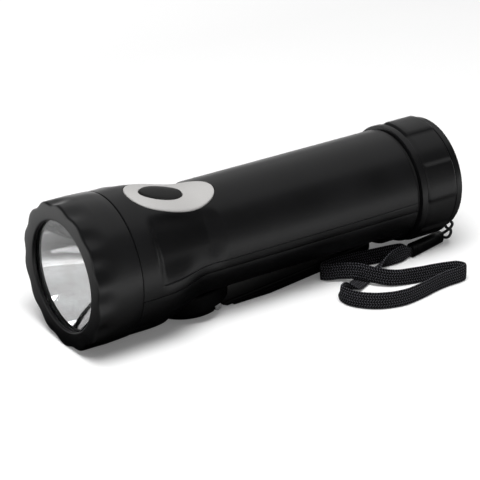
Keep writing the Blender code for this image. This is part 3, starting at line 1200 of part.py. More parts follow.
# Ends of the sleeve's centre line: where the tape goes in, and where the string comes out
SLEEVE_TAPE_END = (0.0136, TOTAL_LENGTH - 0.0184)
SLEEVE_STRING_END = (0.0088, TOTAL_LENGTH + 0.0014)
sleeve_run = Vector(SLEEVE_STRING_END) - Vector(SLEEVE_TAPE_END)
sleeve_way = sleeve_run.normalized()


def sleeve_ring(at, half_height, half_width, height):
    """A section with rounded corners across the sleeve's line, at a distance from the tape's end."""
    middle = Vector(SLEEVE_TAPE_END) + sleeve_way * at
    side = Vector((sleeve_way.y, -sleeve_way.x))
    corner = min(half_height, half_width) * 0.3
    section = [(half_width, half_height - corner), (half_width - corner, half_height),
               (corner - half_width, half_height), (-half_width, half_height - corner),
               (-half_width, corner - half_height), (corner - half_width, -half_height),
               (half_width - corner, -half_height), (half_width, corner - half_height)]
    return [(middle.x + side.x * across, middle.y + side.y * across, height + up) for across, up in section]


def sleeve_section(share):
    """Half height, half thickness and height over the axis of the sleeve's section."""
    half_height = blend(SLEEVE_HEIGHT, SLEEVE_END_HEIGHT, share) / 2
    half_width = blend(SLEEVE_THICKNESS, SLEEVE_END_THICKNESS, share) / 2
    return half_height, half_width, half_height + GAP - HEAD_RADIUS


sleeve_length = sleeve_run.length
sleeve_rings = []
for share, size in ((0, 0.9), (0.04, 1), (0.35, 1), (0.65, 1), (0.95, 1), (1, 0.88)):
    half_height, half_width, height = sleeve_section(share)
    sleeve_rings.append(sleeve_ring(share * sleeve_length, half_height * size, half_width * size, height))
strap_sleeve = grid_solid("strap_sleeve", sleeve_rings)
half_height, half_width, tape_level = sleeve_section(0)
tape_pocket = grid_solid("tape_pocket", [
    sleeve_ring(at, half_height * 0.9 - POCKET_WALL / 2, half_width * 0.9 - POCKET_WALL, tape_level)
    for at in (-TAPE_POCKET, TAPE_POCKET)])
boolean(strap_sleeve, tape_pocket, "DIFFERENCE")
half_height, half_width, string_level = sleeve_section(1)
STRAND_APART = STRING_DIAMETER / 2 + GAP
strand_half = STRAND_APART + STRING_DIAMETER / 2 + GAP
string_pocket = grid_solid("string_pocket", [
    sleeve_ring(sleeve_length + at, strand_half, STRING_DIAMETER / 2 + GAP, string_level)
    for at in (-STRING_POCKET, STRING_POCKET)])
boolean(strap_sleeve, string_pocket, "DIFFERENCE")
place(strap_sleeve, material("sleeve_plastic", (0.018, 0.018, 0.019), 0.5))


def tube(name, points, radius, spacing):
    """A round cord along a route."""
    curve = bpy.data.curves.new(name, "CURVE")
    curve.dimensions = "3D"
    curve.bevel_depth = radius
    curve.bevel_resolution = 1
    curve.use_fill_caps = True
    spline = curve.splines.new("POLY")
    path = smooth_route(points, spacing)
    spline.points.add(len(path) - 1)
    for point, bend in zip(spline.points, path):
        point.co = (*bend, 1)
    return bpy.data.objects.new(name, curve)


def around_rim(radius, station):
    """A point in the plane of the string hole, from its distance to the barrel's axis."""
    return radius * math.sin(STRAP_ANGLE), station, -radius * math.cos(STRAP_ANGLE)


def in_sleeve(before_end, lift):
    """A point on the sleeve's line, measured back from the string's end."""
    middle = Vector(SLEEVE_STRING_END) - sleeve_way * before_end
    return middle.x, middle.y, string_level + lift


rim_inside = CAP_RIM_RADIUS - CAP_RIM_WALL
string_clear = STRING_DIAMETER / 2 + 2 * GAP
rim_middle = CAP_RIM_RADIUS - CAP_RIM_WALL / 2
loop_x, loop_station = SLEEVE_STRING_END[0] + 0.0004, SLEEVE_STRING_END[1] + 0.0026
STRING_ROUTE = [
    in_sleeve(STRING_POCKET - 0.0005, STRAND_APART), in_sleeve(0.0040, STRAND_APART),
    in_sleeve(-0.0008, STRAND_APART),
    (loop_x, loop_station, string_level + STRAND_APART + 0.0010),
    (loop_x + 0.0020, loop_station + 0.0004, string_level + 0.0040),
    (loop_x + 0.0046, loop_station - 0.0008, string_level + 0.0072),
    around_rim(rim_middle, TOTAL_LENGTH + string_clear),
    around_rim(rim_inside - 0.2 * string_clear, TOTAL_LENGTH + 0.6 * string_clear),
    around_rim(rim_inside - string_clear, TOTAL_LENGTH - 0.4 * string_clear),
    around_rim(rim_inside - 0.6 * string_clear, hole_station + 0.0002),
    around_rim(rim_middle, hole_station), around_rim(CAP_RIM_RADIUS + string_clear, hole_station + 0.0001),
    around_rim(CAP_RIM_RADIUS + 2.2 * string_clear, hole_station + 0.0016),
    (loop_x + 0.0042, loop_station - 0.0014, string_level + 0.0022),
    (loop_x + 0.0012, loop_station - 0.0004, string_level - STRAND_APART + 0.0004),
    in_sleeve(-0.0008, -STRAND_APART), in_sleeve(0.0040, -STRAND_APART),
    in_sleeve(STRING_POCKET - 0.0005, -STRAND_APART),
]
strap_string = tube("strap_string", STRING_ROUTE, STRING_DIAMETER / 2, 0.0014)
place(strap_string, material("string_nylon", (0.02, 0.02, 0.02), 0.6))

# Leads: lamp to board, generator to board, and cell to board over the generator
board_middle = BOARD_TOP - BOARD_THICKNESS / 2
board_end = BOARD_START + BOARD_LENGTH + GAP + LEAD_RADIUS * 0.2
lead_clear = LEAD_RADIUS + GAP
LEAD_OUT = 0.0050
GENERATOR_STATION = HUB_STATION + ROTOR_AT * math.cos(TILT)
can_front = GENERATOR_STATION - CAN_RADIUS - CAN_TOP * math.sin(TILT)
over_can = INNER_RADIUS - 4 * lead_clear
led_lead = tube("led_lead", [
    (0, LED_BOARD_START + BOARD_THICKNESS + GAP, 0), (0, holder_end + 0.0020, 0.0004),
    (0, holder_end + LEAD_OUT, 0.0050), (0, BUTTON_STATION, BOARD_TOP - BOARD_THICKNESS - lead_clear)],
    LEAD_RADIUS, 0.0024)
place(led_lead, material("lead_red", (0.45, 0.02, 0.02), 0.4))
battery_lead = tube("battery_lead", [
    (0, CELL_START - lead_clear, CELL_ABOVE_AXIS), (0, CELL_START - 0.0040, CELL_ABOVE_AXIS + 0.0040),
    (0, CELL_START - 0.0070, over_can - 0.0020), (0, CELL_START - 0.0120, over_can),
    (0, GENERATOR_STATION, over_can), (0, can_front, over_can), (0, can_front - 0.0060, over_can - 0.0030),
    (0, board_end, board_middle)], LEAD_RADIUS, 0.0035)
place(battery_lead, material("lead_black", (0.02, 0.02, 0.02), 0.4))
generator_lead = tube("generator_lead", [
    (BOARD_WIDTH / 4, can_front - 0.0006, board_middle - 0.0060),
    (BOARD_WIDTH / 4, can_front - 0.0040, board_middle - 0.0040),
    (BOARD_WIDTH / 4, (can_front + board_end) / 2, board_middle),
    (BOARD_WIDTH / 4, board_end, board_middle)], LEAD_RADIUS, 0.0035)
place(generator_lead, material("lead_yellow", (0.6, 0.45, 0.05), 0.4))
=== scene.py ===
from math import asin, copysign, cos, pi, radians, sin, sqrt, tau

import bmesh
import bpy
from bpy.props import FloatProperty, FloatVectorProperty, IntProperty, PointerProperty
from mathutils import Matrix, Vector, noise


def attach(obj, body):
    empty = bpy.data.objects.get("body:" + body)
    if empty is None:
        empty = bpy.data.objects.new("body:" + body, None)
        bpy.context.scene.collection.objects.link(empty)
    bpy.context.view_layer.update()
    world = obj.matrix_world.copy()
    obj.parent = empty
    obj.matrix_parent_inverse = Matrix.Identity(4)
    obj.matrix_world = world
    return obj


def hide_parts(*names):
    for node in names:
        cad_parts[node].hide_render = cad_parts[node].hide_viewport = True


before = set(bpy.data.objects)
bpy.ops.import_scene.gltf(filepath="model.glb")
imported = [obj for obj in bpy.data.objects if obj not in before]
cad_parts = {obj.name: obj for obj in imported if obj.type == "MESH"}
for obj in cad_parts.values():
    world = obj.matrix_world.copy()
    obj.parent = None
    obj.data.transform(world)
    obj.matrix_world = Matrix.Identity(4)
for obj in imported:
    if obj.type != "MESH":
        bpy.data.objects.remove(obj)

bl_info = {
    "name": "Dynamo flashlight",
    "version": (1, 0, 0),
    "blender": (4, 5, 0),
    "location": "View3D > Sidebar > Torch",
    "description": "Builds a black wind-up torch with a folding crank, a silver switch plate "
                   "and a wrist strap",
    "category": "Object",
}

bpy.context.view_layer.update()

# Sizes shared with the solids, in metres. A station is a distance behind the front face.
GAP = 0.0003
RUNNING = 0.0006
HEAD_RADIUS = 0.0290
BEZEL_LENGTH = 0.0191
COLLAR_RADIUS = HEAD_RADIUS - 0.0006
COLLAR_LENGTH = 0.0066
FLARE_LENGTH = 0.0260
FLARE_POWER = 1.5
BARREL_RADIUS = 0.0229
BARREL_LENGTH = 0.0997
WALL = 0.0020
NECK_LENGTH = 0.0100
NECK_DROP = 0.0024
LOBES = 14
OPENING_RADIUS = HEAD_RADIUS - 0.0073
FACE_DEPTH = 0.0012
ROLL = radians(9)
CROWN_LENGTH = 0.0310
CROWN_POWER = 1.13
DIP_BEHIND_FLARE = 0.0020
DIP_RISE = 0.0090
SCOOP_STEP = 0.0026
SCOOP_FILLET = 0.0050
SCOOP_RADIUS = 0.0213
SCOOP_TOP = radians(22)
SCOOP_SIDE = radians(42)
SCOOP_LOW = radians(62)
PLATE_START = 0.0270
PLATE_LENGTH = 0.0382
PLATE_HALF_WIDTH = 0.0103
PLATE_THICKNESS = 0.0010
PLATE_RISE = 0.0003
BUTTON_STATION = PLATE_START + 0.0149
BUTTON_LENGTH = 0.0186
BUTTON_WIDTH = 0.0094
CAP_COLLAR_RADIUS = 0.0242
CAP_COLLAR_LENGTH = 0.0028
CAP_GRIP_RADIUS = 0.0248
CAP_GRIP_LENGTH = 0.0148
CAP_GRIPS = 5
CAP_RIM_RADIUS = 0.0234
CAP_RIM_LENGTH = 0.0034
CAP_RIM_WALL = 0.0020
CAP_FLOOR = 0.0025
BAY_HEIGHT = HEAD_RADIUS - 0.0154
BAY_FRONT_BEHIND_FLARE = 0.0082
BAY_SLOPE_LENGTH = 0.0185
BAY_SLOPE_DROP = 0.0044
BAY_TAIL = 0.0082
TILT = radians(5)
HUB_BEHIND_FLARE = 0.0031
PIN_BEHIND_HUB = 0.0094
PIN_ABOVE_GROUND = 0.0020
HUB_RADIUS = 0.0170
HUB_BOTTOM = 0.0015
HUB_TOP = 0.0120
HUB_ROUND = 0.0045
CLEVIS_HALF_WIDTH = 0.0088
CLEVIS_FRONT = 0.0045
CLEVIS_DROP = 0.0004
SLOT_HALF_WIDTH = 0.0048
KNUCKLE_RADIUS = 0.0019
PIN_RADIUS = 0.0011
PIN_HEAD_RADIUS = 0.0015
PIN_HEAD_LENGTH = 0.0004
PIN_NOTCH_FRONT = 0.0060
PIN_NOTCH_HEIGHT = 0.0055
ARM_THICKNESS = 0.0046
ARM_TOP = 0.0004
ARM_HALF_WIDTH = 0.0088
ARM_END_HALF_WIDTH = 0.0072
ARM_SHOULDER = 0.0056
ARM_LINE = 0.00025
FOLD_OUT = radians(150)
ARM_HEEL = 0.0080
ARM_END_CLEARANCE = 0.0007
KNOB_FROM_END = 0.0092
KNOB_RADIUS = 0.0060
KNOB_RECESS = 0.0012
KNOB_UNDER_CEILING = 0.0005
KNOB_AXLE_RADIUS = 0.0014
SHAFT_RADIUS = 0.0025
LED_RADIUS = 0.0025
LENS_THICKNESS = 0.0016
CREASE = radians(81)
CREASE_HALF = radians(0.55)
SEAL_THICKNESS = 0.0010
REFLECTOR_DEPTH = 0.0194
REFLECTOR_WALL = 0.0012
SCREW_HEAD_RADIUS = 0.0019
SHELL_BOSS_X = 0.0145
TAPE_WIDTH = 0.0072
TAPE_THICKNESS = 0.0012
STRING_DIAMETER = 0.0012

COLLAR_START = BEZEL_LENGTH + GAP
FLARE_START = COLLAR_START + COLLAR_LENGTH
BARREL_START = FLARE_START + FLARE_LENGTH
BARREL_END = BARREL_START + BARREL_LENGTH
CAP_START = BARREL_END + SEAL_THICKNESS * 0.6 + 2 * GAP
GRIP_START = CAP_START + CAP_COLLAR_LENGTH
GRIP_END = GRIP_START + CAP_GRIP_LENGTH
TOTAL_LENGTH = GRIP_END + CAP_RIM_LENGTH
BAY_FRONT = FLARE_START + BAY_FRONT_BEHIND_FLARE
BAY_REAR = BARREL_END - BAY_TAIL
DIP = BARREL_START + DIP_BEHIND_FLARE
NECK_START = BEZEL_LENGTH - NECK_LENGTH
NECK_RADIUS = COLLAR_RADIUS - NECK_DROP
INNER_RADIUS = BARREL_RADIUS - WALL
PIN_DROP = HEAD_RADIUS - PIN_ABOVE_GROUND
HUB_STATION = BARREL_START + HUB_BEHIND_FLARE
HUB_DROP = PIN_DROP + PIN_BEHIND_HUB * sin(TILT)
PIN_STATION = HUB_STATION + PIN_BEHIND_HUB * cos(TILT)
ARM_LENGTH = (BAY_REAR - ARM_END_CLEARANCE - PIN_STATION) / cos(TILT)
KNOB_AT = ARM_LENGTH - KNOB_FROM_END
LENS_SEAT = OPENING_RADIUS + 0.0033
BOWL_START = FACE_DEPTH + 3 * GAP + LENS_THICKNESS + SEAL_THICKNESS
PLATE_CENTRE = PLATE_START + PLATE_LENGTH / 2
CELL_START = GRIP_END - CAP_FLOOR - 0.0030 - 0.0120 - 0.0300
SCREW_STATIONS = (CELL_START + 0.0030, BAY_REAR - 0.0045)

# Finer sizes, only in the scene
SHELL_EDGE = 0.0003
SHELL_END_EASE = 0.0002
PARTING_EASE = 0.00012
SAME_POINT = 0.0000005
TENTH = 0.0001

# The photograph's view; the lamps aim at a height over the floor
CAMERA_AZIMUTH = radians(56.18)
CAMERA_ELEVATION = radians(25.71)
CAMERA_DISTANCE = 0.900
CAMERA_LENS = 171.32
CAMERA_RIGHT = -0.00508
CAMERA_UP = -0.00716
LAMPS_AIM = 0.03

# From the barrel's (x, station, height over the axis), the hub's and the arm's frames to the row's
BARREL_FRAME = Matrix.Translation((0, -TOTAL_LENGTH / 2, HEAD_RADIUS))
ROLLED = Matrix.Rotation(ROLL, 4, "Y")
SADDLE_FRAME = BARREL_FRAME @ ROLLED
HUB_FRAME = BARREL_FRAME @ Matrix.Translation((0, HUB_STATION, -HUB_DROP)) @ Matrix.Rotation(TILT, 4, "X")
ARM_FRAME = HUB_FRAME @ Matrix.Translation((0, PIN_BEHIND_HUB, 0))
KNOB_FRAME = ARM_FRAME @ Matrix.Translation((0, KNOB_AT, 0))
ALONG_BARREL = Matrix.Rotation(radians(-90), 4, "X")
ALONG_PIN = Matrix.Rotation(radians(90), 4, "Y")
# (across, along, up) from an outline of (along, up) drawn across
SIDEWAYS = Matrix(((0, 0, 1, 0), (1, 0, 0, 0), (0, 1, 0, 0), (0, 0, 0, 1)))


LENGTH = {"min": 0, "unit": "LENGTH"}
COLOUR = {"subtype": "COLOR", "size": 3, "min": 0, "max": 1}


class TorchSizes(bpy.types.PropertyGroup):
    """Sizes of the surface detail that a user would change."""

    lobe_depth: FloatProperty(name="Bezel lobe depth", description="Depth of the dents round its front",
                              default=0.0010, max=0.003, **LENGTH)
    cap_scallop: FloatProperty(name="Tail cap scallop", description="Depth of the hollows between the grips",
                               default=0.0009, max=0.003, **LENGTH)
    button_dome: FloatProperty(name="Button dome", description="Height of the button's dome over the plate",
                               default=0.0011, max=0.003, **LENGTH)
    crease: FloatProperty(name="Crease", description="Depth of the fine line along the body",
                          default=0.00014, max=0.001, **LENGTH)
    shell_arc_steps: IntProperty(name="Shell steps", description="Faces round each half of the body",
                                 default=72, min=16, max=160)


class TorchColours(bpy.types.PropertyGroup):
    """Colours and finishes that a user would change."""

    body: FloatVectorProperty(name="Body", description="Colour of the moulded body",
                              default=(0.0030, 0.0030, 0.0033), **COLOUR)
    plate: FloatVectorProperty(name="Switch plate", description="Colour of the silver plate",
                               default=(0.60, 0.59, 0.58), **COLOUR)
    button: FloatVectorProperty(name="Button", description="Colour of the rubber button",
                                default=(0.010, 0.010, 0.010), **COLOUR)
    strap: FloatVectorProperty(name="Strap", description="Colour of the woven tape",
                               default=(0.006, 0.006, 0.007), **COLOUR)
    body_roughness: FloatProperty(name="Body roughness", description="How satin the body's plastic is",
                                  default=0.32, min=0, max=1, subtype="FACTOR")


# Materials
class Nodes:
    """A node tree, with short ways to add what the looks share."""

    def __init__(self, tree):
        self.tree = tree

    def add(self, kind, output=0, inputs=None, **settings):
        """Add a node and give back one output, or all for None; an input is a value or an output."""
        node = self.tree.nodes.new("ShaderNode" + kind)
        for key, value in settings.items():
            setattr(node, key, value)
        for key, value in (inputs or {}).items():
            if isinstance(value, bpy.types.NodeSocket):
                self.tree.links.new(value, node.inputs[key])
            else:
                node.inputs[key].default_value = value
        return node.outputs if output is None else node.outputs[output]

    def coordinates(self):
        return self.add("TexCoord", "Object")

    def noise(self, scale, detail=3.0, roughness=0.5, vector=None):
        return self.add("TexNoise", "Fac", {"Scale": scale, "Detail": detail, "Roughness": roughness,
                                            "Vector": vector or self.coordinates()})

    def range(self, value, low, high, source=(0.3, 0.7)):
        return self.add("MapRange", "Result", {"Value": value, "From Min": source[0], "From Max": source[1],
                                               "To Min": low, "To Max": high})

    def math(self, operation, first, second=0.5):
        return self.add("Math", 0, {0: first, 1: second}, operation=operation)

    def mix(self, factor, first, second, kind="FLOAT"):
        return self.add("Mix", "Result", {"Factor": factor, "A": first, "B": second}, data_type=kind)


class Look(Nodes):
    """A piece's material. Keyword values go to the inputs of its shader."""

    def __init__(self, name, **values):
        self.material = bpy.data.materials.new(name)
        self.material.use_nodes = True
        super().__init__(self.material.node_tree)
        self.shader = self.tree.nodes["Principled BSDF"]
        for key, value in values.items():
            self.shader.inputs[key.replace("_", " ")].default_value = value

    def drive(self, key, value):
        self.tree.links.new(value, self.shader.inputs[key])

    def colour(self, factor, first, second):
        self.drive("Base Color", self.mix(factor, (*first, 1), (*second, 1), "RGBA"))

    def bump(self, height, strength, distance):
        inputs = {"Strength": strength, "Distance": distance, "Height": height}
        self.drive("Normal", self.add("Bump", "Normal", inputs))

    def lengths(self):
        """The piece's own lengths, along it and across it."""
        parts = self.add("SeparateXYZ", None, {"Vector": self.add("UVMap", "UV", uv_map="weave")})
        return parts["X"], parts["Y"]

    def wave(self, phase):
        """A wave between 0 and 1 that repeats at each whole number."""
        return self.range(self.math("SINE", self.math("MULTIPLY", phase, tau)), 0, 1, (-1, 1))


def tinted(colour, factor, lift=0.0):
    return tuple(min(channel * factor + lift, 1) for channel in colour)


def patched(name, colour, other, patches, gloss, relief=None, grain=None, lines=None, spread=(0.3, 0.7),
            **values):
    """A finish whose colour and gloss drift in patches under a fine grain.

    patches and grain are a noise's scale, detail and roughness, gloss the ends of the roughness,
    relief the strength and depth of the grain; lines stretches the grain along an axis.
    """
    look = Look(name, **values)
    drift = look.noise(*patches)
    look.colour(look.range(drift, 0, 1, spread), colour, other)
    look.drive("Roughness", look.range(drift, *gloss))
    if grain:
        vector = look.coordinates()
        if lines:
            vector = look.add("Mapping", "Vector", {"Vector": vector, "Scale": lines})
        drift = look.noise(*grain, vector)
    if relief:
        look.bump(drift, *relief)
    return look.material


def satin_plastic(name, colour, roughness, specular=0.34):
    """Moulded plastic: a fine spark-eroded grain, faint handling marks and uneven gloss."""
    return patched(name, colour, tinted(colour, 1.7, 0.0008), (38, 4), (roughness - 0.03, roughness + 0.05),
                   (0.22, 0.00004), (3400, 2, 0.6), spread=(0.42, 0.72), Specular_IOR_Level=specular)


def rubber(name, colour, roughness=0.62):
    """Soft rubber with a fine matt grain."""
    return patched(name, colour, tinted(colour, 1.35), (90, 3), (roughness - 0.06, roughness + 0.06),
                   (0.25, 0.00005), (2200, 2, 0.6), Specular_IOR_Level=0.3)


def machined_metal(name, colour, roughness, lines=None, metallic=1.0):
    """Turned or ground metal with fine tool marks."""
    return patched(name, colour, tinted(colour, 0.82), (160, 3), (roughness - 0.05, roughness + 0.07),
                   (0.18, 0.00002), (2600, 2, 0.6), lines, Metallic=metallic)


def mirror_plating(name):
    """Vacuum-plated reflector: a mirror with the faint ripple of the moulding under it."""
    return patched(name, (0.86, 0.86, 0.87), (0.78, 0.76, 0.76), (210, 2), (0.03, 0.09), (0.3, 0.00012),
                   Metallic=1.0)


def clear_plastic(name, colour, roughness):
    """Clear moulding with a very faint haze."""
    return patched(name, colour, tinted(colour, 0.985), (140, 3), (roughness, roughness + 0.02),
                   Transmission_Weight=1.0, IOR=1.46)


def printed_sleeve(name, colour):
    """Shrunk plastic sleeve of the cell, plain but for uneven gloss."""
    return patched(name, colour, tinted(colour, 1.3), (130, 4), (0.25, 0.4), (0.15, 0.0001), Coat_Weight=0.4,
                   Coat_Roughness=0.15)


def silver_paint(name, colour):
    """Silver paint on plastic: metal flakes under a satin coat."""
    look = Look(name, Metallic=0.25, Coat_Weight=0.10, Coat_Roughness=0.3, Specular_IOR_Level=0.3)
    flakes = look.add("TexVoronoi", "Distance", {"Scale": 5200, "Vector": look.coordinates()}, feature="F1")
    look.colour(look.range(flakes, 0, 1, (0.0, 0.8)), colour, tinted(colour, 0.88))
    look.drive("Roughness", look.range(look.noise(120, 3), 0.42, 0.50))
    look.bump(look.noise(1800, 2), 0.08, 0.00003)
    return look.material


def woven_tape(name, colour):
    """Herringbone tape: slanted yarns that turn at each rib, read from the tape's own lengths, with painted
    highlights on the raised yarns and painted shade in the grooves.
    """
    rib, yarn = 0.00115, 0.00105
    look = Look(name, Roughness=0.85, Specular_IOR_Level=0.15, Sheen_Weight=0.04, Sheen_Roughness=0.45,
                Sheen_Tint=(0.6, 0.6, 0.62, 1))
    along, across = look.lengths()
    slant = look.math("MULTIPLY", look.math("PINGPONG", across, rib), 0.95)
    raised = look.wave(look.math("DIVIDE", look.math("ADD", along, slant), yarn))
    groove = look.range(look.math("PINGPONG", across, rib / 2), 0.35, 1, (0, rib / 4))
    fibres = look.math("MULTIPLY", look.noise(5200, 2, 0.7), 0.25)
    height = look.math("ADD", look.math("MULTIPLY", raised, groove), fibres)
    # Painted light: the colour is darker where the weave is low (painted shade in the grooves) and much
    # lighter on the raised yarns (painted highlights).
    look.colour(look.range(height, 0, 1, (0.68, 1.12)), tinted(colour, 0.3), tinted(colour, 18, 0.04))
    look.bump(height, 0.9, 0.00032)
    return look.material


def twisted_string(name, colour):
    """Thin cord laid from strands that wind round it, with a painted highlight along each strand's crest."""
    strand = 0.0011
    look = Look(name, Roughness=0.7, Specular_IOR_Level=0.3, Sheen_Weight=0.2)
    along, across = look.lengths()
    turns = look.math("DIVIDE", across, pi * STRING_DIAMETER / 2)
    raised = look.wave(look.math("ADD", look.math("DIVIDE", along, strand), turns))
    # Painted highlight: the colour is lighter on the strands' crests and darker between them.
    look.colour(raised, colour, tinted(colour, 4, 0.01))
    look.bump(raised, 0.8, 0.0002)
    return look.material


def circuit_board(name):
    """Green solder mask with faint tracks under it."""
    look = Look(name, Coat_Weight=0.3, Coat_Roughness=0.2)
    tracks = look.add("TexBrick", None, {
        "Scale": 420, "Vector": look.coordinates(), "Color1": (0.012, 0.075, 0.030, 1),
        "Color2": (0.016, 0.095, 0.038, 1), "Mortar": (0.010, 0.055, 0.022, 1)})
    look.drive("Base Color", tracks["Color"])
    look.drive("Roughness", look.range(look.noise(200), 0.35, 0.5))
    look.bump(tracks["Fac"], 0.2, 0.00003)
    return look.material


def wound_copper(name):
    """Enamelled wire wound in even turns round the generator's axis; the colour is painted darker between the
    turns (painted shade) and lighter on their crowns (painted highlight).
    """
    look = Look(name, Metallic=1.0)
    turns = look.add("TexWave", "Fac", {"Scale": 900, "Vector": look.coordinates()}, wave_type="BANDS",
                     bands_direction="Z")
    # Painted shade and highlight: each turn's colour runs from dark in the groove to light on its crown.
    look.colour(turns, (0.33, 0.10, 0.035), (0.72, 0.30, 0.13))
    look.drive("Roughness", look.range(look.noise(300), 0.28, 0.42))
    look.bump(turns, 0.5, 0.0001)
    return look.material


MADE = {}


def finishes(context):
    """The shared materials, made once."""
    if not MADE:
        colours = context.scene.torch_colours
        rough, body, strap = colours.body_roughness, tuple(colours.body), tuple(colours.strap)
        MADE.update(
            body=satin_plastic("body_satin_black", body, rough),
            bezel=satin_plastic("bezel_satin_black", body, rough - 0.02, 0.38),
            cap=satin_plastic("cap_satin_black", body, rough),
            # Painted shade: the crank gets a darker, less glossy copy of the body's plastic, standing in for
            # the shade it lies in under the body.
            crank=satin_plastic("crank_satin_black_painted_shade", tinted(body, 0.5), rough + 0.03, 0.14),
            plate=silver_paint("plate_silver_paint", tuple(colours.plate)),
            button=rubber("button_rubber", tuple(colours.button), 0.5),
            seal=rubber("seal_rubber", (0.012, 0.012, 0.012)),
            mirror=mirror_plating("reflector_plating"),
            lens=clear_plastic("lens_clear", (0.98, 0.99, 0.99), 0.01),
            lamp=clear_plastic("lamp_resin", (0.97, 0.96, 0.80), 0.08),
            # Painted glint: the pin is mostly matt with a light colour, so it shows bright from every side in
            # place of the polished steel's reflection.
            pin=machined_metal("pin_steel_painted_glint", (0.85, 0.85, 0.86), 0.3, metallic=0.2),
            steel=machined_metal("ground_steel", (0.56, 0.56, 0.57), 0.3),
            sheet=machined_metal("pressed_steel", (0.50, 0.50, 0.51), 0.36, (1, 0.05, 1)),
            screw=machined_metal("black_zinc", (0.09, 0.09, 0.095), 0.34),
            brass=machined_metal("turned_brass", (0.70, 0.48, 0.18), 0.28),
            copper=wound_copper("wound_copper"),
            board=circuit_board("board_green"),
            nylon=satin_plastic("gear_nylon", (0.68, 0.66, 0.61), 0.42, 0.4),
            ferrite=rubber("magnet_ferrite", (0.05, 0.05, 0.055), 0.5),
            cell=printed_sleeve("cell_sleeve", (0.03, 0.16, 0.07)),
            tape=woven_tape("strap_woven_tape", strap),
            string=twisted_string("strap_string_cord", strap),
            sleeve=satin_plastic("sleeve_satin_black", body, rough + 0.08),
            wire_red=rubber("wire_red", (0.42, 0.02, 0.02), 0.4),
            wire_black=rubber("wire_black", (0.012, 0.012, 0.012), 0.4),
            wire_yellow=rubber("wire_yellow", (0.55, 0.40, 0.04), 0.4))
    return MADE


# Modelling helpers
def ease(value):
    value = min(max(value, 0.0), 1.0)
    return value * value * (3 - 2 * value)


def blend(low, high, share):
    return low + (high - low) * share


def arc(x, y, radius, degrees):
    """Points round (x, y) at the given angles."""
    return [(x + radius * cos(radians(a)), y + radius * sin(radians(a))) for a in degrees]


def all_round(sides):
    return [tau * i / sides for i in range(sides)]


def squared(value, power):
    """A sine or cosine bent so that a circle turns into a rounded oblong."""
    return copysign(abs(value) ** power, value)


def moved(bm, matrix):
    bmesh.ops.transform(bm, matrix=matrix, verts=bm.verts)
    return bm


def loft(rings, closed=False, uv=None):
    """A skin over rings of equally many points, its ends filled; uv gives each point its lengths."""
    count = len(rings[0])
    spans = len(rings) if closed else len(rings) - 1
    bm = bmesh.new()
    bmesh.ops.create_grid(bm, x_segments=spans, y_segments=count, size=1)
    layer = bm.loops.layers.uv.new("weave") if uv else None
    for vert in bm.verts:
        i = round((vert.co.x + 1) / 2 * spans)
        j = round((vert.co.y + 1) / 2 * count)
        if uv:
            for loop in vert.link_loops:
                loop[layer].uv = uv(i, j)
        vert.co = rings[i % len(rings)][j % count]
    bmesh.ops.remove_doubles(bm, verts=bm.verts, dist=SAME_POINT)
    rim = [edge for edge in bm.edges if edge.is_boundary]
    if rim:
        bmesh.ops.holes_fill(bm, edges=rim, sides=0)
    bmesh.ops.recalc_face_normals(bm, faces=bm.faces)
    return bm


def turn(profile, sides=96):
    """A closed profile of (radius, height) points spun round Z."""
    bm = bmesh.new()
    verts = [bm.verts.new((radius, 0, height)) for radius, height in profile]
    edges = [bm.edges.new(pair) for pair in zip(verts, verts[1:] + verts[:1])
             if max(pair[0].co.x, pair[1].co.x) > SAME_POINT]
    bmesh.ops.spin(bm, geom=verts + edges, cent=(0, 0, 0), axis=(0, 0, 1), dvec=(0, 0, 0), angle=tau,
                   steps=sides, use_merge=True, use_normal_flip=False, use_duplicate=False)
    bmesh.ops.remove_doubles(bm, verts=bm.verts, dist=SAME_POINT)
    bmesh.ops.recalc_face_normals(bm, faces=bm.faces)
    return bm


def block(low, high):
    bm = bmesh.new()
    bmesh.ops.create_cube(bm, size=1)
    low, high = Vector(low), Vector(high)
    return moved(bm, Matrix.LocRotScale((low + high) / 2, None, high - low))


def side_prism(outline, half_width):
    """An outline of (station, height) drawn out across the barrel."""
    return moved(prism(outline, -half_width, half_width), SIDEWAYS)


def prism(outline, low, high):
    """A flat closed outline drawn up into a solid."""
    bm = bmesh.new()
    base = bm.faces.new([bm.verts.new((x, y, low)) for x, y in outline])
    made = bmesh.ops.extrude_face_region(bm, geom=[base])
    top = [item for item in made["geom"] if isinstance(item, bmesh.types.BMVert)]
    bmesh.ops.translate(bm, vec=(0, 0, high - low), verts=top)
    bmesh.ops.recalc_face_normals(bm, faces=bm.faces)
    return bm


def rod(radius, start, end, sides=48, centre=(0, 0)):
    bm = bmesh.new()
    bmesh.ops.create_cone(bm, cap_ends=True, segments=sides, radius1=radius, radius2=radius,
                          depth=end - start)
    bmesh.ops.translate(bm, vec=(centre[0], centre[1], (start + end) / 2), verts=bm.verts)
    return bm


def pin_hole():
    return moved(rod(PIN_RADIUS + GAP, -HUB_RADIUS, HUB_RADIUS, 32), ALONG_PIN)


def as_object(name, bm):
    mesh = bpy.data.meshes.new(name)
    bm.to_mesh(mesh)
    bm.free()
    obj = bpy.data.objects.new(name, mesh)
    bpy.context.scene.collection.objects.link(obj)
    return obj


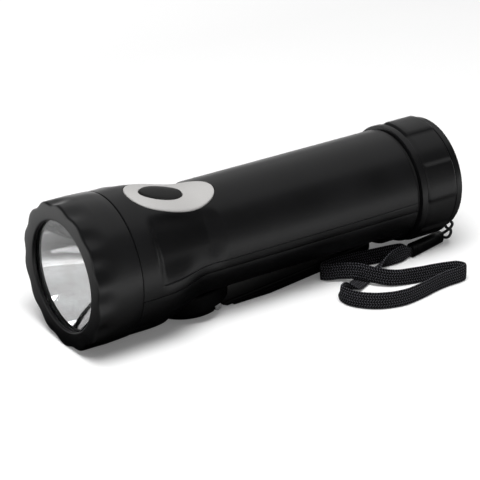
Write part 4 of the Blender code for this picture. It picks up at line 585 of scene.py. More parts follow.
def carve(bm, cuts=(), joined=(), within=()):
    """Join tools on, cut the cuts away and keep what lies within the rest."""
    work = as_object("tool", bm)
    steps = ([("UNION", tool) for tool in joined] + [("DIFFERENCE", tool) for tool in cuts]
             + [("INTERSECT", tool) for tool in within])
    tools = [as_object("tool", tool) for _, tool in steps]
    for (operation, _), other in zip(steps, tools):
        step = work.modifiers.new(operation.title(), "BOOLEAN")
        step.operation = operation
        step.solver = "EXACT"
        step.object = other
    bpy.context.view_layer.update()
    mesh = bpy.data.meshes.new_from_object(work.evaluated_get(bpy.context.evaluated_depsgraph_get()))
    result = bmesh.new()
    result.from_mesh(mesh)
    bmesh.ops.remove_doubles(result, verts=result.verts, dist=4 * SAME_POINT)
    for obj in tools + [work]:
        data = obj.data
        bpy.data.objects.remove(obj, do_unlink=True)
        bpy.data.meshes.remove(data)
    bpy.data.meshes.remove(mesh)
    return result


def piece(name, bm, place, material, body, *nodes, sharp=32):
    """Finish a piece: put it in place, give it its material, hang it on the body it rides on and hide the
    solids it stands for.
    """
    obj = as_object(name, moved(bm, place))
    obj.data.materials.append(material)
    obj.data.shade_smooth()
    obj.data.set_sharp_from_angle(angle=radians(sharp))
    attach(obj, body)
    if nodes:
        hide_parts(*nodes)
    return obj


def near(radius, s, *steps):
    """Profile points near (radius, s): steps of each in tenths of a millimetre, and a share."""
    return [(radius + out * TENTH, s + back * TENTH, share) for out, back, share in steps]


def scalloped(profile, sides, dent):
    """A ring-shaped piece through (radius, station, share) points, dented by that share of dent(angle)."""
    rings = []
    for radius, s, share in profile:
        ring = []
        for angle in all_round(sides):
            r = radius - share * dent(angle)
            ring.append((r * sin(angle), s, r * cos(angle)))
        rings.append(ring)
    return rings


# Forms of the body
def body_radius(s):
    if s < COLLAR_START:
        return NECK_RADIUS
    share = min(max((s - FLARE_START) / FLARE_LENGTH, 0.0), 1.0)
    return blend(COLLAR_RADIUS, BARREL_RADIUS, ease(share ** FLARE_POWER))


def top_radius(s):
    if s < FLARE_START:
        return body_radius(s)
    share = min((s - FLARE_START) / CROWN_LENGTH, 1.0)
    return blend(COLLAR_RADIUS, BARREL_RADIUS, ease(share ** CROWN_POWER))


def side_radius(s):
    if s < FLARE_START:
        return body_radius(s)
    if s < FLARE_START + SCOOP_FILLET:
        return COLLAR_RADIUS - SCOOP_STEP * ease((s - FLARE_START) / SCOOP_FILLET)
    if s < DIP:
        share = (s - FLARE_START - SCOOP_FILLET) / (DIP - FLARE_START - SCOOP_FILLET)
        return min(blend(COLLAR_RADIUS - SCOOP_STEP, SCOOP_RADIUS, share), body_radius(s))
    share = min((s - DIP) / (DIP_RISE * 0.7), 1.0)
    return blend(SCOOP_RADIUS, BARREL_RADIUS, share ** 1.7)


def upper_radius(s, angle):
    angle = abs(angle)
    crown = blend(top_radius(s), side_radius(s), ease((angle - SCOOP_TOP) / (SCOOP_SIDE - SCOOP_TOP)))
    return blend(crown, body_radius(s), ease((angle - SCOOP_LOW) / (pi / 2 - SCOOP_LOW)))


def saddle_height(x, s):
    """Height of the saddle's surface over the axis, found by closing in on its angle."""
    angle = 0.0
    for _ in range(8):
        angle = asin(x / upper_radius(s, angle))
    return upper_radius(s, angle) * cos(angle)


def shell_stations():
    """Close together over the collar, the flare and the saddle, far apart on the straight barrel."""
    saddle_end = DIP + DIP_RISE
    steps = round((saddle_end - FLARE_START) / 0.0007)
    fine = [blend(FLARE_START, saddle_end, i / steps) for i in range(steps + 1)]
    barrel = [blend(saddle_end, BARREL_END, i / 8) for i in range(1, 8)]
    return ([NECK_START, COLLAR_START - 0.00005, COLLAR_START, COLLAR_START + SHELL_EDGE,
             COLLAR_START + WALL - SHELL_EDGE, COLLAR_START + WALL] + fine + barrel
            + [BARREL_END - SHELL_EDGE, BARREL_END])


def arc_angles(steps, creased):
    """Angles round half the body, with three more across each crease."""
    angles = [-pi / 2 + pi * i / steps for i in range(steps + 1)]
    if creased:
        angles = [a for a in angles if abs(abs(a) - CREASE) > 1.6 * CREASE_HALF]
        angles += [side * CREASE + step * CREASE_HALF for side in (-1, 1) for step in (-1, 0, 1)]
    return sorted(angles)


def shell_ring(s, upper, angles, crease=0.0):
    """One shell's wall at a station: the outer arc, then the inner one back."""
    at_end = COLLAR_START <= s < COLLAR_START + SHELL_EDGE or s > BARREL_END - SHELL_EDGE / 2
    held = ease((s - FLARE_START - 0.0010) / 0.0020) * ease((BARREL_END - s) / 0.0010)
    outer, inner = [], []
    for angle in angles:
        radius = upper_radius(s, angle) if upper else body_radius(s)
        if at_end:
            radius -= SHELL_END_EASE
        bore = radius - WALL if s > COLLAR_START + WALL - SHELL_EDGE else NECK_RADIUS - WALL
        if abs(abs(angle) - CREASE) < 0.0001:
            radius -= crease * held
        for ring, r in ((outer, radius), (inner, bore)):
            x, z = r * sin(angle), max(r * cos(angle), GAP / 2)
            if ring is outer and s > FLARE_START and angle in (angles[0], angles[-1]):
                x *= 1 - PARTING_EASE / r
            ring.append((x, s, z if upper else -z))
    return outer + inner[::-1]


def bay_profile(margin):
    low = -2 * HEAD_RADIUS
    front, rear = BAY_FRONT - margin, BAY_REAR + margin
    ceiling = margin - BAY_HEIGHT
    return [(front, low), (front, ceiling - BAY_SLOPE_DROP), (front + BAY_SLOPE_LENGTH, ceiling),
            (rear, ceiling), (rear, low)]


def egg(margin, steps):
    """Outline of the switch plate from its front tip, as (x, station)."""
    points = []
    for angle in all_round(steps):
        along = -cos(angle)
        width = PLATE_HALF_WIDTH * (1 - 0.14 * along + 0.24 * along * along)
        points.append(((width + margin) * sin(angle), PLATE_CENTRE + (PLATE_LENGTH / 2 + margin) * along))
    return points


def oval(margin, steps):
    """Outline of the button from its front end."""
    return [((BUTTON_WIDTH / 2 + margin) * sin(a), BUTTON_STATION - (BUTTON_LENGTH / 2 + margin) * cos(a))
            for a in all_round(steps)]


def shrunk(points, centre, share):
    return [(x * share, centre + (s - centre) * share) for x, s in points]


def on_saddle(points, height):
    return [(x, s, saddle_height(x, s) + height) for x, s in points]


# Route of the strap, as in the solids
TAPE_SPACING = 0.0042
TAPE_GATHER = 0.58
GATHER_HELD = 0.0036
GATHER_LENGTH = 0.0045
TAPE_HEIGHT = TAPE_WIDTH / 2 + GAP
TAPE_ROUTE = [
    (0.0123, 0.0154, -0.0007, 0), (0.0130, 0.0188, -0.0007, 0), (0.0128, 0.0220, -0.0004, 0),
    (0.0124, 0.0249, 0.0002, 0), (0.0112, 0.0319, 0.0001, 0), (0.0100, 0.0379, 0, 0), (0.0092, 0.0449, 0, 0),
    (0.0087, 0.0529, 0, 0), (0.0091, 0.0589, 0, 0), (0.0108, 0.0611, 0, 0), (0.0128, 0.0591, 0.0004, 0),
    (0.0158, 0.0553, 0.0012, 0), (0.0206, 0.0504, 0.0018, 0), (0.0262, 0.0461, 0.0012, 0),
    (0.0308, 0.0404, 0.0003, 0), (0.0334, 0.0319, 0, 0), (0.0354, 0.0223, 0, 0), (0.0374, 0.0157, 0, 0),
    (0.0396, 0.0123, 0, 0), (0.0424, 0.0127, 0, 0), (0.0430, 0.0169, 0, 0), (0.0430, 0.0224, 0, 0),
    (0.0440, 0.0294, 0, 0), (0.0456, 0.0365, 0, 0), (0.0466, 0.0464, 0, 0), (0.0442, 0.0553, 0, 0),
    (0.0396, 0.0615, 0, 0), (0.0342, 0.0647, 0, 0), (0.0302, 0.0651, 0, 0), (0.0276, 0.0633, 0, 10),
    (0.0262, 0.0599, -0.0012, 50), (0.0240, 0.0547, -0.0028, 86), (0.0212, 0.0487, -0.0029, 88),
    (0.0186, 0.0427, -0.0026, 80), (0.0168, 0.0359, -0.0008, 40), (0.0160, 0.0289, 0.0001, 6),
    (0.0153, 0.0239, 0.0001, 0), (0.0149, 0.0215, -0.0004, 0), (0.0143, 0.0188, -0.0007, 0),
    (0.0135, 0.0154, -0.0007, 0),
]
SLEEVE_HEIGHT = 0.0058
SLEEVE_END_HEIGHT = 0.0048
SLEEVE_THICKNESS = 0.0040
SLEEVE_END_THICKNESS = 0.0036
STRING_POCKET = 0.0120
TAPE_POCKET = 0.0050
POCKET_WALL = 0.0004
SLEEVE_TAPE_END = Vector((0.0136, TOTAL_LENGTH - 0.0184))
SLEEVE_STRING_END = Vector((0.0088, TOTAL_LENGTH + 0.0014))
SLEEVE_RUN = SLEEVE_STRING_END - SLEEVE_TAPE_END
SLEEVE_WAY = SLEEVE_RUN.normalized()
SLEEVE_BANDS = ((0, 0.88), (0.012, 0.96), (0.035, 1), (0.10, 1), (0.108, 0.95), (0.125, 0.95), (0.133, 1),
                (0.5, 1), (0.867, 1), (0.875, 0.95), (0.892, 0.95), (0.90, 1), (0.965, 1), (0.988, 0.96),
                (1, 0.88))
STRAP_ANGLE = radians(41)
HOLE_STATION = GRIP_END + (TOTAL_LENGTH - GRIP_END) * 0.45
STRING_LEVEL = SLEEVE_END_HEIGHT / 2 + GAP - HEAD_RADIUS
STRAND_APART = STRING_DIAMETER / 2 + GAP


def smooth_route(points, spacing):
    """Points at an even spacing on a smooth curve through the route's own; a fourth value rides along."""
    vectors = [Vector(point) for point in points]
    fine = []
    for i in range(len(vectors) - 1):
        p0 = vectors[max(i - 1, 0)]
        p1, p2 = vectors[i], vectors[i + 1]
        p3 = vectors[min(i + 2, len(vectors) - 1)]
        for k in range(12):
            t = k / 12
            fine.append(0.5 * (2 * p1 + (p2 - p0) * t + (2 * p0 - 5 * p1 + 4 * p2 - p3) * t * t
                               + (3 * p1 - p0 - 3 * p2 + p3) * t ** 3))
    fine.append(vectors[-1])
    lengths = [0.0]
    for a, b in zip(fine, fine[1:]):
        lengths.append(lengths[-1] + (b.xyz - a.xyz).length)
    count = max(round(lengths[-1] / spacing), 2)
    route, k = [], 0
    for i in range(count + 1):
        want = lengths[-1] * i / count
        while k < len(lengths) - 2 and lengths[k + 1] < want:
            k += 1
        share = (want - lengths[k]) / max(lengths[k + 1] - lengths[k], 0.0000001)
        route.append(fine[k].lerp(fine[k + 1], min(share, 1.0)))
    return route, lengths[-1]


def around_rim(radius, station):
    return radius * sin(STRAP_ANGLE), station, -radius * cos(STRAP_ANGLE)


def in_sleeve(before_end, lift):
    middle = SLEEVE_STRING_END - SLEEVE_WAY * before_end
    return middle.x, middle.y, STRING_LEVEL + lift


def string_route():
    rim_inside = CAP_RIM_RADIUS - CAP_RIM_WALL
    clear = STRING_DIAMETER / 2 + 2 * GAP
    rim_middle = CAP_RIM_RADIUS - CAP_RIM_WALL / 2
    loop_x, loop_station = SLEEVE_STRING_END.x + 0.0004, SLEEVE_STRING_END.y + 0.0026
    return [
        in_sleeve(STRING_POCKET - 0.0005, STRAND_APART), in_sleeve(0.0040, STRAND_APART),
        in_sleeve(-0.0008, STRAND_APART),
        (loop_x, loop_station, STRING_LEVEL + STRAND_APART + 0.0010),
        (loop_x + 0.0020, loop_station + 0.0004, STRING_LEVEL + 0.0040),
        (loop_x + 0.0046, loop_station - 0.0008, STRING_LEVEL + 0.0072),
        around_rim(rim_middle, TOTAL_LENGTH + clear),
        around_rim(rim_inside - 0.2 * clear, TOTAL_LENGTH + 0.6 * clear),
        around_rim(rim_inside - clear, TOTAL_LENGTH - 0.4 * clear),
        around_rim(rim_inside - 0.6 * clear, HOLE_STATION + 0.0002),
        around_rim(rim_middle, HOLE_STATION), around_rim(CAP_RIM_RADIUS + clear, HOLE_STATION + 0.0001),
        around_rim(CAP_RIM_RADIUS + 2.2 * clear, HOLE_STATION + 0.0016),
        (loop_x + 0.0042, loop_station - 0.0014, STRING_LEVEL + 0.0022),
        (loop_x + 0.0012, loop_station - 0.0004, STRING_LEVEL - STRAND_APART + 0.0004),
        in_sleeve(-0.0008, -STRAND_APART), in_sleeve(0.0040, -STRAND_APART),
        in_sleeve(STRING_POCKET - 0.0005, -STRAND_APART),
    ]


def directions(path):
    """The way along the path at each of its points."""
    pairs = zip(path[:1] + path[:-1], path[1:] + path[-1:])
    return [(after.xyz - before.xyz).normalized() for before, after in pairs]


# Operators
class TORCH_OT_camera(bpy.types.Operator):
    """Set the camera at the photograph's view"""

    bl_idname = "torch.camera"
    bl_label = "Camera"

    def execute(self, context):
        level = cos(CAMERA_ELEVATION)
        back = Vector((sin(CAMERA_AZIMUTH) * level, -cos(CAMERA_AZIMUTH) * level, sin(CAMERA_ELEVATION)))
        right = Vector((cos(CAMERA_AZIMUTH), sin(CAMERA_AZIMUTH), 0))
        up = back.cross(right)
        place = (back * CAMERA_DISTANCE + right * CAMERA_RIGHT + up * CAMERA_UP
                 + Vector((0, 0, HEAD_RADIUS)))
        data = bpy.data.cameras.new("camera")
        data.lens = CAMERA_LENS
        data.sensor_width = 36
        data.clip_start = 0.01
        data.clip_end = 30
        camera = bpy.data.objects.new("camera", data)
        context.scene.collection.objects.link(camera)
        camera.matrix_world = Matrix.Translation(place) @ Matrix((right, up, back)).transposed().to_4x4()
        context.scene.camera = camera
        return {"FINISHED"}


class TORCH_OT_strap(bpy.types.Operator):
    """Lay the wrist strap: string through the cap, sleeve and the loop of woven tape"""

    bl_idname = "torch.strap"
    bl_label = "Wrist strap"

    def tape(self, material):
        route = [(x, TOTAL_LENGTH - ahead, TAPE_HEIGHT + lift - HEAD_RADIUS, radians(lean))
                 for x, ahead, lift, lean in TAPE_ROUTE]
        path, length = smooth_route(smooth_route(route, TAPE_SPACING)[0], 0.0010)
        step = length / (len(path) - 1)
        angles = all_round(28)
        rings = []
        for i, (point, way) in enumerate(zip(path, directions(path))):
            across = way.cross(Vector((0, 0, 1))).normalized()
            up = across.cross(way)
            lean = Matrix.Rotation(point.w, 3, way)
            across, up = lean @ across, lean @ up
            from_end = min(i, len(path) - 1 - i) * step
            size = blend(TAPE_GATHER, 1, ease((from_end - GATHER_HELD) / GATHER_LENGTH))
            uneven = 1 + 0.025 * noise.noise(Vector((from_end * 160, point.x * 90, 3)))
            rings.append([point.xyz + up * (squared(cos(a), 0.55) * TAPE_WIDTH / 2 * size * uneven)
                          + across * (squared(sin(a), 0.75) * TAPE_THICKNESS / 2 * size) for a in angles])

        def lengths_at(i, j):
            angle = tau * j / len(angles)
            return i * step, squared(cos(angle), 0.55) * TAPE_WIDTH / 2 + TAPE_WIDTH

        obj = piece("strap_tape_woven", loft(rings, uv=lengths_at), BARREL_FRAME, material, "torch",
                    "strap_tape", sharp=60)

    def string(self, material):
        path, length = smooth_route(string_route(), 0.0006)
        ways = directions(path)
        step = length / (len(path) - 1)
        angles = all_round(16)
        side = ways[0].cross(Vector((0, 0, 1))).normalized()
        rings = []
        for point, way in zip(path, ways):
            side = (side - way * side.dot(way)).normalized()
            up = way.cross(side)
            rings.append([point.xyz + (side * cos(a) + up * sin(a)) * STRING_DIAMETER / 2 for a in angles])

        def lengths_at(i, j):
            return i * step, j / len(angles) * pi * STRING_DIAMETER

        obj = piece("strap_string_cord", loft(rings, uv=lengths_at), BARREL_FRAME, material, "torch",
                    "strap_string", sharp=60)

    def sleeve(self, material):
        run = SLEEVE_RUN.length
        side = Vector((SLEEVE_WAY.y, -SLEEVE_WAY.x))

        def section(at, half_height, half_width, height):
            ring = []
            for angle in all_round(40):
                middle = SLEEVE_TAPE_END + SLEEVE_WAY * at + side * squared(cos(angle), 0.5) * half_width
                ring.append((*middle, height + squared(sin(angle), 0.5) * half_height))
            return ring

        def sizes_at(share):
            half_height = blend(SLEEVE_HEIGHT, SLEEVE_END_HEIGHT, share) / 2
            half_width = blend(SLEEVE_THICKNESS, SLEEVE_END_THICKNESS, share) / 2
            return half_height, half_width, half_height + GAP - HEAD_RADIUS

        rings = []
        for share, size in SLEEVE_BANDS:
            half_height, half_width, height = sizes_at(share)
            rings.append(section(share * run, half_height * size, half_width * size, height))
        half_height, half_width, height = sizes_at(0)
        tape_pocket = loft([section(at, half_height * 0.9 - POCKET_WALL / 2, half_width * 0.9 - POCKET_WALL,
                                    height) for at in (-TAPE_POCKET, TAPE_POCKET)])
        half = STRING_DIAMETER / 2 + GAP
        string_pocket = loft([section(run + at, STRAND_APART + half, half, STRING_LEVEL)
                              for at in (-STRING_POCKET, STRING_POCKET)])
        piece("strap_sleeve_moulded", carve(loft(rings), [tape_pocket, string_pocket]), BARREL_FRAME,
              material, "torch", "strap_sleeve")

    def execute(self, context):
        made = finishes(context)
        self.tape(made["tape"])
        self.string(made["string"])
        self.sleeve(made["sleeve"])
        return {"FINISHED"}


class TORCH_OT_bezel(bpy.types.Operator):
    """Mould the lobed bezel round the lens"""

    bl_idname = "torch.bezel"
    bl_label = "Bezel"

    def execute(self, context):
        depth = context.scene.torch_sizes.lobe_depth
        thread = NECK_RADIUS + 2 * GAP
        seat_end = BOWL_START + 0.0010
        fade_start, fade_end = 0.0012, BEZEL_LENGTH * 0.50
        edge = 0.0010
        profile = [(r, s, 1) for r, s in arc(HEAD_RADIUS - edge, edge, edge, range(-90, 1, 15))]
        for i in range(1, 13):
            s = blend(edge, fade_end, i / 12)
            profile.append((HEAD_RADIUS, s, 1 - ease((s - fade_start) / (fade_end - fade_start))))
        ends = ((0.35, blend(fade_end, BEZEL_LENGTH, 0.55)), (0.72, BEZEL_LENGTH - 0.0005),
                (0.85, BEZEL_LENGTH - 0.0002))
        profile += [(blend(HEAD_RADIUS, COLLAR_RADIUS, share), s, 0) for share, s in ends]
        profile += [(COLLAR_RADIUS - GAP, BEZEL_LENGTH, 0), (thread, BEZEL_LENGTH, 0), (thread, seat_end, 0),
                    (LENS_SEAT, seat_end, 0), (LENS_SEAT, FACE_DEPTH, 0), (OPENING_RADIUS, FACE_DEPTH, 0)]
        profile += near(OPENING_RADIUS, 0, (0, 7, 0), (1, 4, 0), (3, 1.8, 0), (6, 0.5, 0), (9, 0, 0))
        profile.append((blend(OPENING_RADIUS, HEAD_RADIUS, 0.6), 0, 0.3))
        rings = scalloped(profile, 280, lambda angle: depth * (0.5 - 0.5 * cos(LOBES * angle)) ** 1.25)
        piece("bezel_moulded", loft(rings, closed=True), BARREL_FRAME, finishes(context)["bezel"], "torch",
              "head_bezel")
        return {"FINISHED"}


class TORCH_OT_lamp(bpy.types.Operator):
    """Make the lens, the plated reflector and the lamp"""

    bl_idname = "torch.lamp"
    bl_label = "Lens, reflector and lamp"

    def execute(self, context):
        made = finishes(context)
        place = BARREL_FRAME @ ALONG_BARREL
        disc = LENS_SEAT - GAP
        start, bow = FACE_DEPTH + GAP, 0.0002
        front = [(disc * i / 8, start + bow * (i / 8) ** 2) for i in range(9)]
        lens = turn(front + [(disc, start + LENS_THICKNESS), (0, start + LENS_THICKNESS)], 128)
        piece("lens_moulded", lens, place, made["lens"], "torch", "lens")

        wide, hole = OPENING_RADIUS - 0.0002, LED_RADIUS + 0.0016
        vertex, flange = BOWL_START + REFLECTOR_DEPTH, BOWL_START + 0.0010
        inner = [(r, vertex - REFLECTOR_DEPTH * (r / wide) ** 2)
                 for r in (blend(hole, wide, i / 40) for i in range(41))]
        outer = [(r + REFLECTOR_WALL, s + REFLECTOR_WALL * 0.6) for r, s in inner[4:-4:4]]
        outer = [point for point in outer if point[1] > flange + GAP]
        profile = (inner + [(disc, BOWL_START), (disc, flange), (wide + REFLECTOR_WALL, flange)] + outer[::-1]
                   + [(hole + REFLECTOR_WALL, vertex + REFLECTOR_WALL), (hole, vertex + REFLECTOR_WALL)])
        piece("reflector_plated", turn(profile, 160), place, made["mirror"], "torch", "reflector", sharp=40)

        base = vertex + REFLECTOR_WALL + GAP
        rim, rim_end, dome = LED_RADIUS + 0.0009, base - 0.0012, base - 0.0032
        profile = [(0, base), (rim - TENTH, base), (rim, base - TENTH), (rim, rim_end + TENTH),
                   (rim - TENTH, rim_end), (LED_RADIUS, rim_end), (LED_RADIUS, dome)]
        profile += arc(0, dome, LED_RADIUS, range(-10, -90, -10))
        profile.append((0, dome - LED_RADIUS))
        piece("lamp_moulded", turn(profile, 64), place, made["lamp"], "torch", "led")
        return {"FINISHED"}


class TORCH_OT_shells(bpy.types.Operator):
    """Mould the two body shells with the thumb saddle and the crank's bay"""

    bl_idname = "torch.shells"
    bl_label = "Body shells"

    def upper(self, stations, steps, crease, material):
        plate = egg(GAP, 120)
        floor = PLATE_RISE - PLATE_THICKNESS - GAP
        rings = [on_saddle(plate, HEAD_RADIUS / 4), on_saddle(plate, floor)]
        rings += [on_saddle(shrunk(plate, PLATE_CENTRE, share), floor)
                  for share in (0.8, 0.6, 0.4, 0.2, 0.02)]
        hole = prism(oval(GAP, 96), BUTTON_WIDTH / 2, 2 * HEAD_RADIUS)
        angles = arc_angles(steps, True)
        shell = loft([shell_ring(s, True, angles, crease) for s in stations])
        piece("upper_shell_moulded", carve(shell, [loft(rings), hole]), SADDLE_FRAME, material, "torch",
              "upper_shell", sharp=28)

    def lower(self, stations, steps, material):
        angles = arc_angles(steps, False)
        rings = [shell_ring(s, False, angles) for s in stations]
        shell = moved(loft(rings), ROLLED)
        outer = moved(loft([ring[:len(angles)] for ring in rings]), ROLLED)
        liner = carve(side_prism(bay_profile(WALL), 2 * HEAD_RADIUS), within=[outer])
        cuts = [side_prism(bay_profile(0), 2 * HEAD_RADIUS),
                moved(rod(SHAFT_RADIUS + 0.0024, HUB_BOTTOM, HUB_TOP + 0.008),
                      BARREL_FRAME.inverted() @ HUB_FRAME)]
        cuts += [rod(SCREW_HEAD_RADIUS + GAP, -HEAD_RADIUS, 0.0012 - BAY_HEIGHT, 32, (side * SHELL_BOSS_X, s))
                 for s in SCREW_STATIONS for side in (-1, 1)]
        piece("lower_shell_moulded", carve(shell, cuts, [liner]), BARREL_FRAME, material, "torch",
              "lower_shell", sharp=28)

    def execute(self, context):
        sizes = context.scene.torch_sizes
        body = finishes(context)["body"]
        stations = shell_stations()
        self.upper(stations, sizes.shell_arc_steps, sizes.crease, body)
        self.lower(stations, sizes.shell_arc_steps, body)
        return {"FINISHED"}


class TORCH_OT_switch(bpy.types.Operator):
    """Make the silver switch plate and its rubber button"""

    bl_idname = "torch.switch"
    bl_label = "Switch plate and button"

    def plate(self, material):
        steps = 144
        outer_edge, inner_edge = 0.0005, 0.0004
        bottom = PLATE_RISE - PLATE_THICKNESS
        rings = [on_saddle(egg(0, steps), bottom)]
        for a in (0, pi / 6, pi / 3, pi / 2):
            rings.append(on_saddle(egg(-outer_edge * (1 - cos(a)), steps),
                                   PLATE_RISE - outer_edge * 0.6 * (1 - sin(a))))
        pairs = list(zip(egg(-outer_edge, steps), oval(GAP + inner_edge, steps)))
        for i in range(1, 13):
            rings.append(on_saddle([(blend(a[0], b[0], i / 12), blend(a[1], b[1], i / 12)) for a, b in pairs],
                                   PLATE_RISE))
        for a in (pi / 6, pi / 3, pi / 2):
            rings.append(on_saddle(oval(GAP + inner_edge * (1 - sin(a)), steps),
                                   PLATE_RISE - inner_edge * (1 - cos(a))))
        rings.append(on_saddle(oval(GAP, steps), bottom))
        piece("switch_plate_painted", loft(rings, closed=True), SADDLE_FRAME, material, "torch",
              "switch_plate", sharp=40)

    def button(self, dome, material):
        flange, flange_top, flange_low = 0.0012, -WALL - GAP - 0.0002, -WALL - GAP - 0.0010
        levels = [(0.3, 0, flange_low), (1, flange, flange_low), (1, flange, flange_top), (1, 0, flange_top),
                  (1, 0, dome * 0.15)]
        levels += [(1 - 0.06 * (1 - cos(a)), 0, dome * (0.15 + 0.65 * sin(a)))
                   for a in (radians(degrees) for degrees in range(15, 91, 15))]
        levels += [(share, 0, dome * (0.8 + 0.55 * (1 - share ** 2)))
                   for share in (0.84, 0.70, 0.52, 0.34, 0.16, 0.04)]
        rings = [on_saddle(shrunk(oval(margin, 96), BUTTON_STATION, share), height)
                 for share, margin, height in levels]
        stem_top = top_radius(BUTTON_STATION) + flange_low + 0.0006
        stem = rod(0.0018, stem_top - 0.0018, stem_top, 32, (0, BUTTON_STATION))
        piece("switch_button_rubber", carve(loft(rings), joined=[stem]), SADDLE_FRAME, material, "button",
              "switch_button", sharp=50)

    def execute(self, context):
        made = finishes(context)
        self.plate(made["plate"])
        self.button(context.scene.torch_sizes.button_dome, made["button"])
        return {"FINISHED"}


class TORCH_OT_tail_cap(bpy.types.Operator):
    """Mould the tail cap with its grips and rim"""

    bl_idname = "torch.tail_cap"
    bl_label = "Tail cap"

    def execute(self, context):
        depth = context.scene.torch_sizes.cap_scallop
        face, spigot = GRIP_END - CAP_FLOOR, CAP_START - 0.0060
        inner = INNER_RADIUS - 3 * GAP
        bore = inner - 0.0018
        rim, hollow = CAP_RIM_RADIUS, CAP_RIM_RADIUS - CAP_RIM_WALL
        profile = [(0, face, 0), (bore, face, 0), (bore, spigot, 0), (inner, spigot, 0),
                   (inner, CAP_START, 0)]
        profile += near(CAP_COLLAR_RADIUS, CAP_START, (-4, 0, 0), (-1, 1, 0), (0, 4, 0))
        profile += near(CAP_COLLAR_RADIUS, GRIP_START, (0, -3, 0), (-3, -1, 0), (-3, 1, 0.1), (0, 3, 0.4))
        profile += near(CAP_GRIP_RADIUS, GRIP_START, (-1, 9, 1), (0, 12, 1))
        profile += [(CAP_GRIP_RADIUS, blend(GRIP_START + 12 * TENTH, GRIP_END - 12 * TENTH, i / 6), 1)
                    for i in range(1, 7)]
        profile += near(CAP_GRIP_RADIUS, GRIP_END, (-1, -9, 0.9), (-4, -5, 0.5))
        profile += near(rim, GRIP_END, (3, -2, 0.1), (-3, 0, 0), (-3, 3, 0), (0, 5, 0))
        profile += near(rim, TOTAL_LENGTH, (0, -5, 0), (-2, -2, 0), (-5, 0, 0))
        profile += near(hollow, TOTAL_LENGTH, (3, 0, 0), (0, -3, 0))
        profile += near(hollow, GRIP_END, (0, 3, 0), (-3, 0, 0))
        profile.append((0, GRIP_END, 0))
        rings = scalloped(profile, 200,
                          lambda angle: depth * ease((0.12 - 0.5 * cos(CAP_GRIPS * angle)) / 0.22))
        hole = moved(rod(STRING_DIAMETER / 2 + GAP, rim - 2 * CAP_RIM_WALL, rim + 0.002, 32),
                     Matrix.Translation((0, HOLE_STATION, 0)) @ Matrix.Rotation(pi - STRAP_ANGLE, 4, "Y"))
        piece("tail_cap_moulded", carve(loft(rings), [hole]), BARREL_FRAME, finishes(context)["cap"], "torch",
              "tail_cap", sharp=34)
        return {"FINISHED"}


